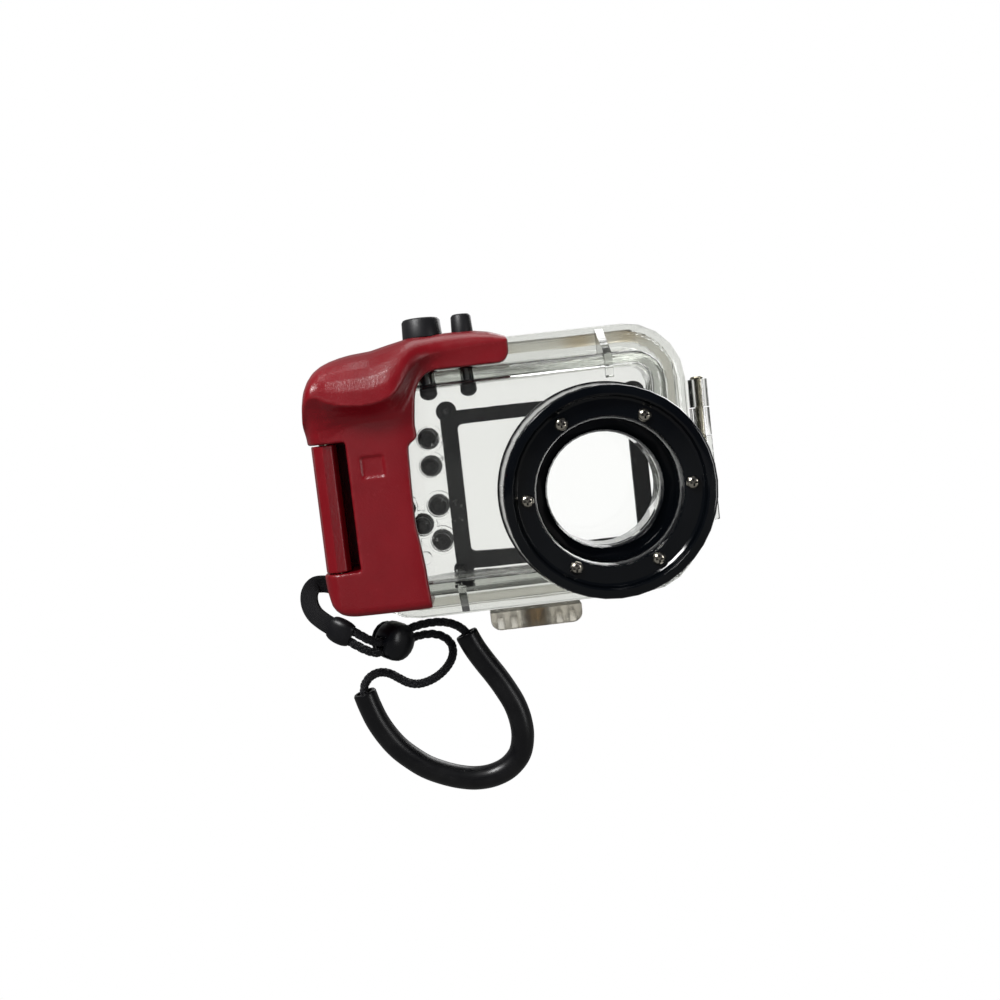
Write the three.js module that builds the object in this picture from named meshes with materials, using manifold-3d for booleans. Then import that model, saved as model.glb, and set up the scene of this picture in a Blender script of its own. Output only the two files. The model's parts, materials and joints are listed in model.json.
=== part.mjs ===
// Underwater camera housing: clear two-part shell with a screwed lens port, red grip and wrist lanyard.
// Millimetres, +Z up, the lens port looks along -Y, origin at the centre of the tripod foot's underside.
import * as THREE from "three";
import { mergeVertices, toCreasedNormals } from "three/addons/utils/BufferGeometryUtils.js";
import Module from "manifold-3d";

const wasm = await Module();
wasm.setup();

// Clearances and cutting overrun
const seatGap = 0.3;
const fitGap = 0.1;
const overrun = 1;

// Shell outline and depths: the outline closes round the screen frame and the key block
const sideMargin = 5.2;
const topMargin = 12.75;
const footMargin = 4.35;
const shellCorner = 17.5;
const wall = 3.3;
const rimReach = 7.6;
const draft = 1;
const frontRound = 3;
const tubReach = 13.7;
const rimDepth = 8;
const rimStep = 3;
const rimStepDepth = 3;
const edgeBreak = 0.6;
const partingGap = 0.3;
const doorDepth = 9.7;
const doorPlate = 3.5;
const doorRound = 3;
const doorLand = 6.6;
const gussetThickness = 2.2;
const gussetDrop = 1.2;
const gussetReach = 6.4;
const gussetProud = 1.5;
const topGussetX = 26.6;
const lowerGussetX = -20.3;

// Door gasket
const gasketInset = 3.8;
const gasketWidth = 2.4;
const gasketDepth = 2.2;

// Tripod foot and its threaded insert
const footWidth = 27;
const footHeight = 5.4;
const footCorner = 3;
const footRib = 1.8;
const footBossRadius = 5.6;
const insertRadius = 4.4;
const tripodThreadRadius = 3.05;
const insertHeight = 5;
const knurlCount = 16;
const knurlDepth = 0.3;

// Lens port
const lensDrop = 6.35;
const bezelRadius = 28.5;
const bezelDepth = 5.6;
const bezelRound = 0.9;
const bezelLip = 2.9;
const bezelRecess = 2.8;
const bezelFloorReach = 20.2;
const hoodOuter = 20.6;
const hoodWall = 1.1;
const hoodDepth = 16.4;
const hoodFloor = 2.6;
const portOpening = 15.9;
const openingLip = 1.1;
const collarDepth = 7.7;
const collarFlange = 29.3;
const collarFlangeDepth = 1.6;
const collarGrooves = 3;
const collarGrooveDepth = 0.45;
const portGasketRadius = 29.7;
const portGasketWidth = 4.2;
const portGasketThickness = 0.7;
const drumMargin = 0.5;
const drumLip = 1.2;
const drumLipDepth = 2;
const glassThickness = 3;
const glassRadius = 20.2;
const glassRingSection = 1.5;
const ledgeThickness = 2;
const tunnelBore = 16.3;
const tunnelWall = 1.6;
const tunnelReach = 7;
const bossWall = 3.4;

// Port screws
const screwCount = 6;
const screwCircle = 22.2;
const screwRadius = 1;
const screwHole = 1.15;
const screwHeadRadius = 1.85;
const screwHeadHeight = 1.3;
const screwLength = 16;
const driveDepth = 0.7;
const driveWidth = 0.5;
const driveSpan = 2;

// Screen frame on the door
const screenWidth = 51.2;
const screenHeight = 39.5;
const screenCorner = 1.5;
const frameSide = 5;
const frameTop = 4.3;
const frameFoot = 5.2;
const frameThickness = 2;
const earRadius = 3.1;
const earInset = 2.1;
const pegRadius = 1;

// Hinge
const hingePinRadius = 1.25;
const knuckleRadius = 3;
const knuckleCount = 5;
const hingeLength = 42.3;
const hingeOffset = 4.3;
const knuckleGap = 0.35;
const hingeWeb = 4;
const pinHeadRadius = 1.9;
const pinHeadHeight = 0.8;

// Grip cover
const gripSide = 7.5;
const gripLength = 58.3;
const gripUnder = 2.6;
const padRise = 1.6;
const gripCover = 3.8;
const crownReach = 9.8;
const armCover = 1.6;
const gripEdgeRound = 2.4;
const gripEndRound = 5;
const armRound = 3.3;
const badgeWidth = 6.5;
const badgeHeight = 6;
const badgeDepth = 0.5;
const badgeX = -40.4;
const badgeZ = 52.5;

// Latch
const latchInset = 4.9;
const latchSetback = 0.7;
const latchBarrel = 3.5;
const latchPlate = 2.2;
const latchRise = 12.8;
const latchLength = 35.1;
const latchLip = 2.2;
const latchTab = 3.6;
const latchFlare = 2.2;
const slotMargin = 2.9;
const latchPinRadius = 1.3;
const latchPinBite = 5.5;
const catchReach = 3.3;
const catchDepth = 4.5;

// Top buttons: place, cap and plunger sizes
const shutter = {
  name: "shutter", reach: 23.2, capRadius: 5.6, capRise: 4.9, stem: 2.2, tip: 2.45, coil: 3.4,
};
const power = { name: "power", reach: 12, capRadius: 3.05, capRise: 5, stem: 1.75, tip: 2.3, coil: 2.4 };
const topButtonSetback = 6.7;
const capPocket = 4.5;
const capHold = 0.6;
const tipLength = 4;
const tipBite = 2.6;
const capRound = 0.7;
const oRingSection = 1.3;
const springWire = 0.45;
const springTurns = 3;
const wireSides = 5;
const turnSteps = 8;

// Rear buttons
const rearCapRadius = 3.4;
const rearCapHeight = 2.7;
const rearCapProud = 1.4;
const rearBossRadius = 4.5;
const rearBossHeight = 2.6;
const rearPocket = 0.9;
const rearStem = 1.5;
const rearTip = 2.7;
const rearTipLength = 1.8;
const keyGap = 0.8;
const zoomShift = 4.5;
const zoomRise = 16.7;
const zoomPitch = 8.5;
const padDrop = 9.6;
const padSpread = 5.5;
const postDrop = 10;
const pegHeight = 3;
const postRadius = 2;

// Strap loop on the grip
const lugBarWidth = 3;
const lugBarDepth = 2.4;
const lugWindow = 5.3;
const lugEar = 2;
const lugRise = 1.3;
const strapWidth = 6;
const strapThickness = 1.1;

// Lanyard
const cordRadius = 1.35;
const tubeRadius = 3.4;
const lockX = -42;
const lockY = -10.5;
const lockZ = 1;
const lockTurn = 0.75;
const lockTilt = 0.2;
const lockRadius = 5.6;
const lockBore = 4.35;
const lockWall = 1.05;
const lockDome = 1.5;
const lockTravel = 0.8;
const lockHead = 1.4;
const lockHeadRadius = 5;
const strandOffset = 1.5;
const sleeveWidth = 7.6;
const sleeveThickness = 4.4;

// Facets
const arcSteps = 6;
const outlineSteps = 5;
const roundSides = 16;
const ringSides = 40;
const cordSides = 8;
const tubeSides = 10;
const sealSides = 6;
const tipSides = 10;

// Sizes and places worked out from the ones above
const frameWidth = screenWidth + 2 * frameSide;
const frameHeight = screenHeight + frameTop + frameFoot;
const keyBlock = 2 * (padSpread + rearTip) + keyGap;
const shellWidth = 2 * (doorLand + sideMargin) + frameWidth + keyBlock;
const shellHeight = 2 * doorLand + topMargin + frameHeight + footMargin;
const clampDepth = rimDepth + partingGap + doorDepth;
const rimFrontY = -clampDepth / 2;
const partingY = rimFrontY + rimDepth;
const doorFrontY = partingY + partingGap;
const doorBackY = doorFrontY + doorDepth;
const doorInnerY = doorBackY - doorPlate;
const tubFrontY = rimFrontY - tubReach;
const tubInnerY = tubFrontY + wall;
const shellBottomZ = footHeight + seatGap;
const shellMidZ = shellBottomZ + shellHeight / 2;
const shellTopZ = shellBottomZ + shellHeight;
const shellRightX = shellWidth / 2;
const shellLeftX = -shellRightX;
const cavityInset = rimReach + wall;
const drumRadius = bezelRadius + drumMargin;
const lensX = shellRightX - drumRadius;
const lensZ = shellMidZ - lensDrop;
const gasketFrontY = tubFrontY - fitGap - portGasketThickness;
const collarBackY = gasketFrontY - fitGap;
const collarFrontY = collarBackY - collarDepth;
const bezelBackY = collarFrontY - fitGap;
const bezelFrontY = bezelBackY - bezelDepth;
const bezelFloorY = bezelFrontY + bezelRecess;
const hoodBackY = bezelFrontY + hoodDepth;
const glassFrontY = hoodBackY + fitGap;
const glassBackY = glassFrontY + glassThickness;
const ledgeY = glassBackY + glassRingSection + 2 * fitGap;
const bossBackY = ledgeY + ledgeThickness;
const tunnelBackY = bossBackY + tunnelReach;
const screwTipY = bezelFloorY + screwLength;
const hingeX = shellRightX + hingeOffset;
const hingeY = (partingY + doorFrontY) / 2;
const hingeTopZ = shellMidZ + hingeLength / 2;
const knucklePitch = hingeLength / knuckleCount;
const screenX = shellRightX - doorLand - sideMargin - frameWidth / 2;
const screenZ = shellBottomZ + doorLand + footMargin + frameFoot + screenHeight / 2;
const padCentreX = shellLeftX + doorLand + sideMargin + rearTip + padSpread;
const padCentreZ = screenZ - padDrop;
const zoomButtonX = padCentreX + zoomShift;
const zoomHighZ = screenZ + zoomRise;
const gripLeftX = shellLeftX - gripSide;
const gripRightX = gripLeftX + gripLength;
const gripBottomZ = shellBottomZ + rimReach + draft - gripUnder;
const gripTopZ = shellTopZ + padRise;
const latchAxisX = gripLeftX + latchInset;
const latchAxisY = tubFrontY + latchSetback;
const latchBottomZ = gripBottomZ + latchRise;
const latchTopZ = latchBottomZ + latchLength;
const latchSlotX = latchAxisX + latchBarrel + slotMargin;
const latchEndY = doorFrontY + catchDepth + 2 * seatGap;
const gripBackY = rimFrontY - seatGap;
const gripFaceY = tubFrontY - gripCover;
const crownY = tubFrontY - crownReach;
const armFaceY = tubFrontY - armCover;
const lugLeftX = gripLeftX + seatGap;
const lugBottomZ = gripBottomZ + lugRise;
const topButtonY = tubFrontY + topButtonSetback;
const rearBossTopY = doorBackY + rearBossHeight;
const rearCapFaceY = rearBossTopY + rearCapProud;
const rearCapBackY = rearCapFaceY - rearCapHeight;
const rearFloorY = doorBackY - rearPocket;
const rearTipFaceY = doorInnerY - seatGap - rearTipLength;

// Solids from closed three.js geometry, and back again
function solid(geometry) {
  const bare = geometry.clone();
  bare.deleteAttribute("normal");
  bare.deleteAttribute("uv");
  const merged = mergeVertices(bare, 1e-4);
  const source = merged.index.array;
  const triVerts = [];
  for (let i = 0; i < source.length; i += 3) {
    const [a, b, c] = [source[i], source[i + 1], source[i + 2]];
    if (a !== b && b !== c && c !== a) triVerts.push(a, b, c);
  }
  const vertProperties = merged.attributes.position.array;
  if (signedVolume(vertProperties, triVerts) < 0) triVerts.reverse();
  const mesh = new wasm.Mesh({ numProp: 3, vertProperties, triVerts: Uint32Array.from(triVerts) });
  return new wasm.Manifold(mesh);
}

function signedVolume(positions, triangles) {
  const corner = (i) => new THREE.Vector3().fromArray(positions, 3 * i);
  let volume = 0;
  for (let i = 0; i < triangles.length; i += 3) {
    const [a, b, c] = [corner(triangles[i]), corner(triangles[i + 1]), corner(triangles[i + 2])];
    volume += a.dot(b.cross(c)) / 6;
  }
  return volume;
}

function join(first, ...others) {
  return others.reduce((sum, other) => sum.add(other), first);
}

function cut(first, ...others) {
  return others.reduce((rest, other) => rest.subtract(other), first);
}

function geometryOf(manifold) {
  const mesh = manifold.getMesh();
  const geometry = new THREE.BufferGeometry();
  geometry.setAttribute("position", new THREE.BufferAttribute(mesh.vertProperties, 3));
  geometry.setIndex(new THREE.BufferAttribute(mesh.triVerts, 1));
  return toCreasedNormals(geometry, 0.6);
}

// Prisms along each axis, from a shape drawn in the two other coordinates
function prism(shape, depth) {
  return new THREE.ExtrudeGeometry(shape, { depth, bevelEnabled: false, curveSegments: arcSteps / 2 });
}

function alongY(shape, fromY, toY) {
  return solid(prism(shape, toY - fromY).rotateX(Math.PI / 2).translate(0, toY, 0));
}

function alongZ(shape, fromZ, toZ) {
  return solid(prism(shape, toZ - fromZ).translate(0, 0, fromZ));
}

function alongX(shape, fromX, toX) {
  const geometry = prism(shape, toX - fromX).rotateX(Math.PI / 2).rotateZ(Math.PI / 2);
  return solid(geometry.translate(fromX, 0, 0));
}

function block(fromX, toX, fromY, toY, fromZ, toZ) {
  const geometry = new THREE.BoxGeometry(toX - fromX, toY - fromY, toZ - fromZ);
  return solid(geometry.translate((fromX + toX) / 2, (fromY + toY) / 2, (fromZ + toZ) / 2));
}

function polygon(points) {
  return new THREE.Shape(points.map(([x, y]) => new THREE.Vector2(x, y)));
}

// Turned pieces: a profile of [radius, position] pairs about an axis along Y or Z
function turnedY(profile, x, z, sides = roundSides) {
  return solid(lathe(profile, sides).translate(x, 0, z));
}

function turnedZ(profile, x, y, sides = roundSides) {
  return solid(lathe(profile, sides).rotateX(Math.PI / 2).translate(x, y, 0));
}

function lathe(profile, sides) {
  const points = profile.map(([radius, position]) => new THREE.Vector2(radius, position));
  if (profile[0][0] > 0) points.push(points[0].clone());
  return new THREE.LatheGeometry(points, sides);
}

function rodY(radius, fromY, toY, x, z, sides = roundSides) {
  return turnedY([[0, fromY], [radius, fromY], [radius, toY], [0, toY]], x, z, sides);
}

function rodZ(radius, fromZ, toZ, x, y, sides = roundSides) {
  return turnedZ([[0, fromZ], [radius, fromZ], [radius, toZ], [0, toZ]], x, y, sides);
}

// A stack of rings with equal counts becomes one closed skin, capped or joined end to end
function ringStack(rings, endless = false) {
  const count = rings[0].length;
  const positions = rings.flat().flatMap((point) => [point.x, point.y, point.z]);
  const index = [];
  const spans = endless ? rings.length : rings.length - 1;
  for (let i = 0; i < spans; i++) {
    const here = i * count;
    const next = ((i + 1) % rings.length) * count;
    for (let j = 0; j < count; j++) {
      const k = (j + 1) % count;
      index.push(here + j, here + k, next + k, here + j, next + k, next + j);
    }
  }
  if (!endless) {
    const last = (rings.length - 1) * count;
    for (const [a, b, c] of capTriangles(rings[0])) index.push(a, c, b);
    for (const [a, b, c] of capTriangles(rings[rings.length - 1])) index.push(last + a, last + b, last + c);
  }
  const geometry = new THREE.BufferGeometry();
  geometry.setAttribute("position", new THREE.Float32BufferAttribute(positions, 3));
  geometry.setIndex(index);
  return solid(geometry);
}

function capTriangles(ring) {
  const normal = new THREE.Vector3();
  ring.forEach((point, i) => normal.add(point.clone().cross(ring[(i + 1) % ring.length])));
  const facing = (axis) => Math.abs(normal[axis]);
  const main = ["x", "y", "z"].reduce((best, axis) => (facing(axis) > facing(best) ? axis : best), "x");
  const [u, v] = { x: ["y", "z"], y: ["z", "x"], z: ["x", "y"] }[main];
  const flat = ring.map((point) => new THREE.Vector2(point[u], point[v]));
  const wound = THREE.ShapeUtils.area(flat);
  return THREE.ShapeUtils.triangulateShape(flat, []).map((face) => {
    const turned = THREE.ShapeUtils.area(face.map((i) => flat[i]));
    return turned * wound > 0 ? face : [face[0], face[2], face[1]];
  });
}

// The shell's outline, drawn in from its edge, at one depth
function shellRing(inset, y) {
  const radius = Math.max(shellCorner - inset, frontRound);
  const halfWidth = shellWidth / 2 - inset - radius;
  const halfHeight = shellHeight / 2 - inset - radius;
  const corners = [[1, 1], [-1, 1], [-1, -1], [1, -1]];
  return corners.flatMap(([sideX, sideZ], quarter) => {
    return Array.from({ length: outlineSteps + 1 }, (_, step) => {
      const angle = (quarter + step / outlineSteps) * Math.PI / 2;
      const x = sideX * halfWidth + radius * Math.cos(angle);
      const z = shellMidZ + sideZ * halfHeight + radius * Math.sin(angle);
      return new THREE.Vector3(x, y, z);
    });
  });
}

function shellStack(steps) {
  return ringStack(steps.map(([inset, y]) => shellRing(inset, y)));
}

function quarterRound(radius, inset, y, side, steps = 4) {
  return Array.from({ length: steps + 1 }, (_, step) => {
    const angle = step / steps * Math.PI / 2;
    return [inset + radius * (1 - Math.sin(angle)), y + side * radius * (1 - Math.cos(angle))];
  });
}

// Smooth reading of a table of [share along, share up] pairs
function alongShares(table, share) {
  const last = table.length - 1;
  if (share <= table[0][0]) return table[0][1];
  if (share >= table[last][0]) return table[last][1];
  const i = table.findIndex(([at]) => at > share) - 1;
  const [fromAt, from] = table[i];
  const [toAt, to] = table[i + 1];
  const slope = (k) => {
    if (k <= 0 || k >= last) return 0;
    return (table[k + 1][1] - table[k - 1][1]) / (table[k + 1][0] - table[k - 1][0]);
  };
  const width = toAt - fromAt;
  const t = (share - fromAt) / width;
  const rise = (3 - 2 * t) * t ** 2;
  const leaving = (t - 1) ** 2 * t * width * slope(i);
  const arriving = (t - 1) * t ** 2 * width * slope(i + 1);
  return from + rise * (to - from) + leaving + arriving;
}

// A tube or rod of even section along a smooth path
function sweptTube(points, radius, sides, steps) {
  const path = new THREE.CatmullRomCurve3(points.map(([x, y, z]) => new THREE.Vector3(x, y, z)));
  const section = new THREE.Shape().absarc(0, 0, radius, 0, 2 * Math.PI);
  const options = { steps, extrudePath: path, curveSegments: sides / 2 };
  return solid(new THREE.ExtrudeGeometry(section, options));
}

// Screw places round the lens axis
function screwPlaces() {
  return Array.from({ length: screwCount }, (_, i) => {
    const angle = i * 2 * Math.PI / screwCount;
    return [lensX + screwCircle * Math.cos(angle), lensZ + screwCircle * Math.sin(angle)];
  });
}

// Rear button places: a zoom pair above a five-way pad
function rearPlaces() {
  const zoom = [[zoomButtonX, zoomHighZ], [zoomButtonX, zoomHighZ - zoomPitch]];
  const corners = [[1, 1], [1, -1], [-1, -1], [-1, 1]];
  const pad = corners.map(([a, b]) => [padCentreX + a * padSpread, padCentreZ + b * padSpread]);
  return [...zoom, [padCentreX, padCentreZ], ...pad];
}

// Depth at which a top button's bore meets the inside of the top wall
function tubInsetAt(y) {
  const share = (y - tubFrontY) / tubReach;
  return rimReach + draft * (1 - share);
}

const topWallOuterZ = shellTopZ - tubInsetAt(topButtonY);
const topWallInnerZ = shellTopZ - cavityInset - draft;

function tubOutside(gap) {
  const front = quarterRound(frontRound, rimReach + draft - gap, tubFrontY - gap, 1);
  return shellStack([...front, [rimReach - gap, rimFrontY], [rimReach - gap, rimFrontY + overrun]]);
}

function frontShell() {
  const rim = shellStack([
    [rimStep, rimFrontY],
    [rimStep, rimFrontY + rimStepDepth - edgeBreak],
    [edgeBreak, rimFrontY + rimStepDepth],
    [0, rimFrontY + rimStepDepth + edgeBreak],
    [0, partingY],
  ]);
  const drum = turnedY([
    [0, tubFrontY],
    [drumRadius + drumLip, tubFrontY],
    [drumRadius + drumLip, tubFrontY + drumLipDepth],
    [drumRadius - edgeBreak, tubFrontY + drumLipDepth + drumLip],
    [drumRadius - edgeBreak, rimFrontY + overrun],
    [0, rimFrontY + overrun],
  ], lensX, lensZ, ringSides);
  const cavityFront = quarterRound(frontRound / 2, cavityInset + draft, tubInnerY, 1, 3);
  const cavity = shellStack([...cavityFront, [cavityInset, partingY + overrun]]);
  const tunnel = turnedY([
    [0, tubInnerY - overrun],
    [hoodOuter + bossWall, tubInnerY - overrun],
    [hoodOuter + bossWall, bossBackY],
    [tunnelBore + tunnelWall, bossBackY],
    [tunnelBore + tunnelWall, tunnelBackY],
    [0, tunnelBackY],
  ], lensX, lensZ, ringSides);
  const portBore = turnedY([
    [0, tubFrontY - overrun],
    [hoodOuter + fitGap, tubFrontY - overrun],
    [hoodOuter + fitGap, ledgeY],
    [tunnelBore, ledgeY],
    [tunnelBore, tunnelBackY + overrun],
    [0, tunnelBackY + overrun],
  ], lensX, lensZ, ringSides);
  const screwBores = screwPlaces().map(([x, z]) => {
    return rodY(screwHole, tubFrontY - overrun, screwTipY + fitGap, x, z, cordSides);
  });
  const gussets = [gusset(topGussetX, 1), gusset(lowerGussetX, -1)];
  const bores = [shutter, power].map((button) => topBore(button));
  const knuckles = hingeKnuckles(0, partingY - hingeWeb, partingY);
  const body = join(tubOutside(0), rim, drum, ...gussets);
  return cut(join(cut(body, cavity), tunnel, knuckles), portBore, hingeBore(), ...screwBores, ...bores);
}

function gusset(x, side) {
  const wallZ = shellMidZ + side * (shellHeight / 2 - rimReach - wall / 2);
  const rimZ = shellMidZ + side * (shellHeight / 2 - gussetDrop);
  const endZ = wallZ - side * gussetReach;
  const ribY = tubFrontY - gussetProud;
  const shape = polygon([
    [tubFrontY + frontRound, wallZ],
    [rimFrontY + overrun, wallZ],
    [rimFrontY + overrun, rimZ],
    [rimFrontY - edgeBreak, rimZ],
    [ribY, wallZ],
    [ribY, endZ + side * edgeBreak],
    [ribY + edgeBreak, endZ],
    [tubFrontY + edgeBreak, endZ],
  ]);
  return alongX(shape, x - gussetThickness / 2, x + gussetThickness / 2);
}

function topButtonX(button) {
  return gripRightX - button.reach;
}

function topCapZ(button) {
  return gripTopZ + button.capRise;
}

function topBore(button) {
  const glandZ = topWallOuterZ - oRingSection - fitGap;
  return turnedZ([
    [0, topWallInnerZ - overrun - wall],
    [button.stem + fitGap, topWallInnerZ - overrun - wall],
    [button.stem + fitGap, glandZ],
    [button.stem + oRingSection + fitGap, glandZ],
    [button.stem + oRingSection + fitGap, shellTopZ],
    [0, shellTopZ],
  ], topButtonX(button), topButtonY);
}

// Hinge knuckles of one leaf: even ones on the front shell, odd ones on the door
function hingeKnuckles(parity, webFromY, webToY) {
  const knuckles = [];
  for (let i = parity; i < knuckleCount; i += 2) {
    const topZ = hingeTopZ - i * knucklePitch;
    const bottomZ = topZ - knucklePitch + knuckleGap;
    const barrel = rodZ(knuckleRadius, bottomZ, topZ, hingeX, hingeY, roundSides);
    const web = block(shellRightX - overrun, hingeX, webFromY, webToY, bottomZ, topZ);
    knuckles.push(barrel, web);
  }
  return join(...knuckles);
}

function hingeBore() {
  const fromZ = hingeTopZ - hingeLength - overrun;
  return rodZ(hingePinRadius + fitGap / 2, fromZ, hingeTopZ + overrun, hingeX, hingeY, roundSides);
}

function hingePin() {
  const bottomZ = hingeTopZ - hingeLength;
  const headZ = hingeTopZ + fitGap;
  return turnedZ([
    [0, bottomZ],
    [hingePinRadius - fitGap / 2, bottomZ],
    [hingePinRadius - fitGap / 2, headZ],
    [pinHeadRadius, headZ],
    [pinHeadRadius, headZ + pinHeadHeight / 2],
    [pinHeadRadius - pinHeadHeight / 2, headZ + pinHeadHeight],
    [0, headZ + pinHeadHeight],
  ], hingeX, hingeY);
}

function rearDoor() {
  const back = quarterRound(doorRound, 0, doorBackY, -1).reverse();
  const outside = shellStack([[0, doorFrontY], ...back]);
  const recess = shellStack([[doorLand, doorFrontY - overrun], [doorLand, doorInnerY]]);
  const bosses = rearPlaces().map(([x, z]) => {
    return rodY(rearBossRadius, doorInnerY + overrun, rearBossTopY, x, z, 1.25 * roundSides);
  });
  const bores = rearPlaces().map(([x, z]) => turnedY([
    [0, doorInnerY - overrun],
    [rearStem + fitGap, doorInnerY - overrun],
    [rearStem + fitGap, rearFloorY],
    [rearCapRadius + seatGap, rearFloorY],
    [rearCapRadius + seatGap, rearBossTopY + overrun],
    [0, rearBossTopY + overrun],
  ], x, z));
  const pegs = screenEars().map(([x, z]) => {
    return rodY(pegRadius, doorInnerY - frameThickness - edgeBreak, doorInnerY + overrun, x, z, cordSides);
  });
  const postZ = padCentreZ - postDrop;
  const post = rodY(postRadius, doorInnerY - pegHeight, doorInnerY + overrun, padCentreX, postZ);
  const latchCatch = block(
    shellLeftX - catchReach, shellLeftX + overrun,
    doorFrontY, doorFrontY + catchDepth,
    latchBottomZ + slotMargin, latchTopZ - slotMargin,
  );
  const knuckles = hingeKnuckles(1, doorFrontY, doorFrontY + hingeWeb);
  const body = join(cut(outside, recess, gasketGroove(0)), ...bosses, ...pegs, post, latchCatch, knuckles);
  return cut(body, hingeBore(), ...bores);
}

// A loop of even section that follows the shell's outline
function outlineLoop(insideInset, outsideInset, fromY, toY, round = 0) {
  const corners = [
    [outsideInset + round, fromY],
    [insideInset - round, fromY],
    [insideInset, fromY + round],
    [insideInset, toY],
    [outsideInset, toY],
    [outsideInset, fromY + round],
  ];
  const sections = round > 0 ? corners : [corners[0], corners[1], corners[3], corners[4]];
  return ringStack(sections.map(([inset, y]) => shellRing(inset, y)), true);
}

function gasketGroove() {
  const half = gasketWidth / 2 + fitGap;
  const floorY = doorFrontY + gasketDepth + fitGap;
  return outlineLoop(gasketInset + half, gasketInset - half, doorFrontY - overrun, floorY);
}

function doorGasket() {
  const half = gasketWidth / 2;
  const frontY = doorFrontY - partingGap / 3;
  const backY = doorFrontY + gasketDepth;
  return outlineLoop(gasketInset + half, gasketInset - half, frontY, backY, gasketWidth / 4);
}

// Screen frame: a window with an ear at each corner, held on pegs
function screenEars() {
  const halfWidth = screenWidth / 2 + frameSide - earInset;
  const topZ = screenZ + screenHeight / 2 + frameTop;
  const bottomZ = screenZ - screenHeight / 2 - frameFoot;
  const corners = [[-1, topZ], [1, topZ], [-1, bottomZ], [1, bottomZ]];
  return corners.map(([side, z]) => [screenX + side * halfWidth, z]);
}

function roundedWindow(width, height, radius, centreX, centreZ) {
  const shape = new THREE.Shape();
  const [x, z] = [centreX - width / 2, centreZ - height / 2];
  shape.moveTo(x + radius, z);
  shape.lineTo(x + width - radius, z);
  shape.absarc(x + width - radius, z + radius, radius, -Math.PI / 2, 0);
  shape.absarc(x + width - radius, z + height - radius, radius, 0, Math.PI / 2);
  shape.absarc(x + radius, z + height - radius, radius, Math.PI / 2, Math.PI);
  shape.absarc(x + radius, z + radius, radius, Math.PI, 1.5 * Math.PI);
  return shape;
}

function lcdFrame() {
  const [frontY, backY] = [doorInnerY - frameThickness, doorInnerY - fitGap];
  const midZ = screenZ + (frameTop - frameFoot) / 2;
  const plate = alongY(roundedWindow(frameWidth, frameHeight, screenCorner, screenX, midZ), frontY, backY);
  const window = roundedWindow(screenWidth, screenHeight, screenCorner, screenX, screenZ);
  const ears = screenEars().map(([x, z]) => rodY(earRadius, frontY, backY, x, z, 1.25 * roundSides));
  const holes = screenEars().map(([x, z]) => {
    return rodY(pegRadius + fitGap, frontY - overrun, backY + overrun, x, z, cordSides);
  });
  return cut(join(plate, ...ears), alongY(window, frontY - overrun, backY + overrun), ...holes);
}

// Lens port pieces
function portBezel() {
  const lipInner = bezelRadius - bezelLip;
  const boreInner = hoodOuter - hoodWall;
  const floorY = hoodBackY - hoodFloor;
  const ring = turnedY([
    [bezelRadius, bezelBackY],
    [bezelRadius, bezelFrontY + bezelRound],
    [bezelRadius - bezelRound / 3, bezelFrontY + bezelRound / 3],
    [bezelRadius - bezelRound, bezelFrontY],
    [lipInner + bezelRound / 2, bezelFrontY],
    [lipInner, bezelFrontY + bezelRound / 2],
    [lipInner - bezelRound / 3, bezelFloorY - bezelRound / 2],
    [lipInner - bezelRound, bezelFloorY],
    [bezelFloorReach, bezelFloorY],
    [bezelFloorReach - edgeBreak / 2, bezelFloorY + edgeBreak],
    [boreInner, bezelBackY],
    [boreInner - hoodWall / 4, floorY],
    [portOpening + openingLip, floorY],
    [portOpening + openingLip / 2, floorY - edgeBreak / 2],
    [portOpening, floorY + openingLip],
    [portOpening, hoodBackY],
    [hoodOuter, hoodBackY],
    [hoodOuter, bezelBackY],
  ], lensX, lensZ, ringSides);
  const holes = screwPlaces().map(([x, z]) => {
    return rodY(screwHole, bezelFrontY - overrun, bezelBackY + overrun, x, z, cordSides);
  });
  return cut(ring, ...holes);
}

function portCollar() {
  const inner = hoodOuter + fitGap;
  const pitch = (collarDepth - collarFlangeDepth) / (collarGrooves + 1);
  const land = bezelRadius - edgeBreak / 2;
  const grooves = Array.from({ length: collarGrooves }, (_, i) => {
    const y = collarFrontY + (i + 1) * pitch;
    return [
      [land, y - collarGrooveDepth],
      [land - collarGrooveDepth, y],
      [land, y + collarGrooveDepth],
    ];
  }).flat();
  const ring = turnedY([
    [inner, collarFrontY],
    [land, collarFrontY],
    ...grooves,
    [land, collarBackY - collarFlangeDepth],
    [collarFlange, collarBackY - collarFlangeDepth + edgeBreak / 2],
    [collarFlange, collarBackY],
    [inner, collarBackY],
  ], lensX, lensZ, ringSides);
  const holes = screwPlaces().map(([x, z]) => {
    return rodY(screwHole, collarFrontY - overrun, collarBackY + overrun, x, z, cordSides);
  });
  return cut(ring, ...holes);
}

function portGasket() {
  const backY = tubFrontY - fitGap;
  const inner = portGasketRadius - portGasketWidth;
  return turnedY([
    [inner, gasketFrontY],
    [portGasketRadius, gasketFrontY],
    [portGasketRadius, backY],
    [inner, backY],
  ], lensX, lensZ, ringSides);
}

function portGlass() {
  return turnedY([
    [0, glassFrontY],
    [glassRadius - edgeBreak / 2, glassFrontY],
    [glassRadius, glassFrontY + edgeBreak / 2],
    [glassRadius, glassBackY - edgeBreak / 2],
    [glassRadius - edgeBreak / 2, glassBackY],
    [0, glassBackY],
  ], lensX, lensZ, ringSides);
}

function glassORing() {
  const radius = glassRingSection / 2;
  const geometry = new THREE.TorusGeometry((tunnelBore + hoodOuter) / 2, radius, sealSides, ringSides / 2);
  const midY = (glassBackY + ledgeY) / 2;
  return solid(geometry.rotateX(Math.PI / 2).translate(lensX, midY, lensZ));
}

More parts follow.
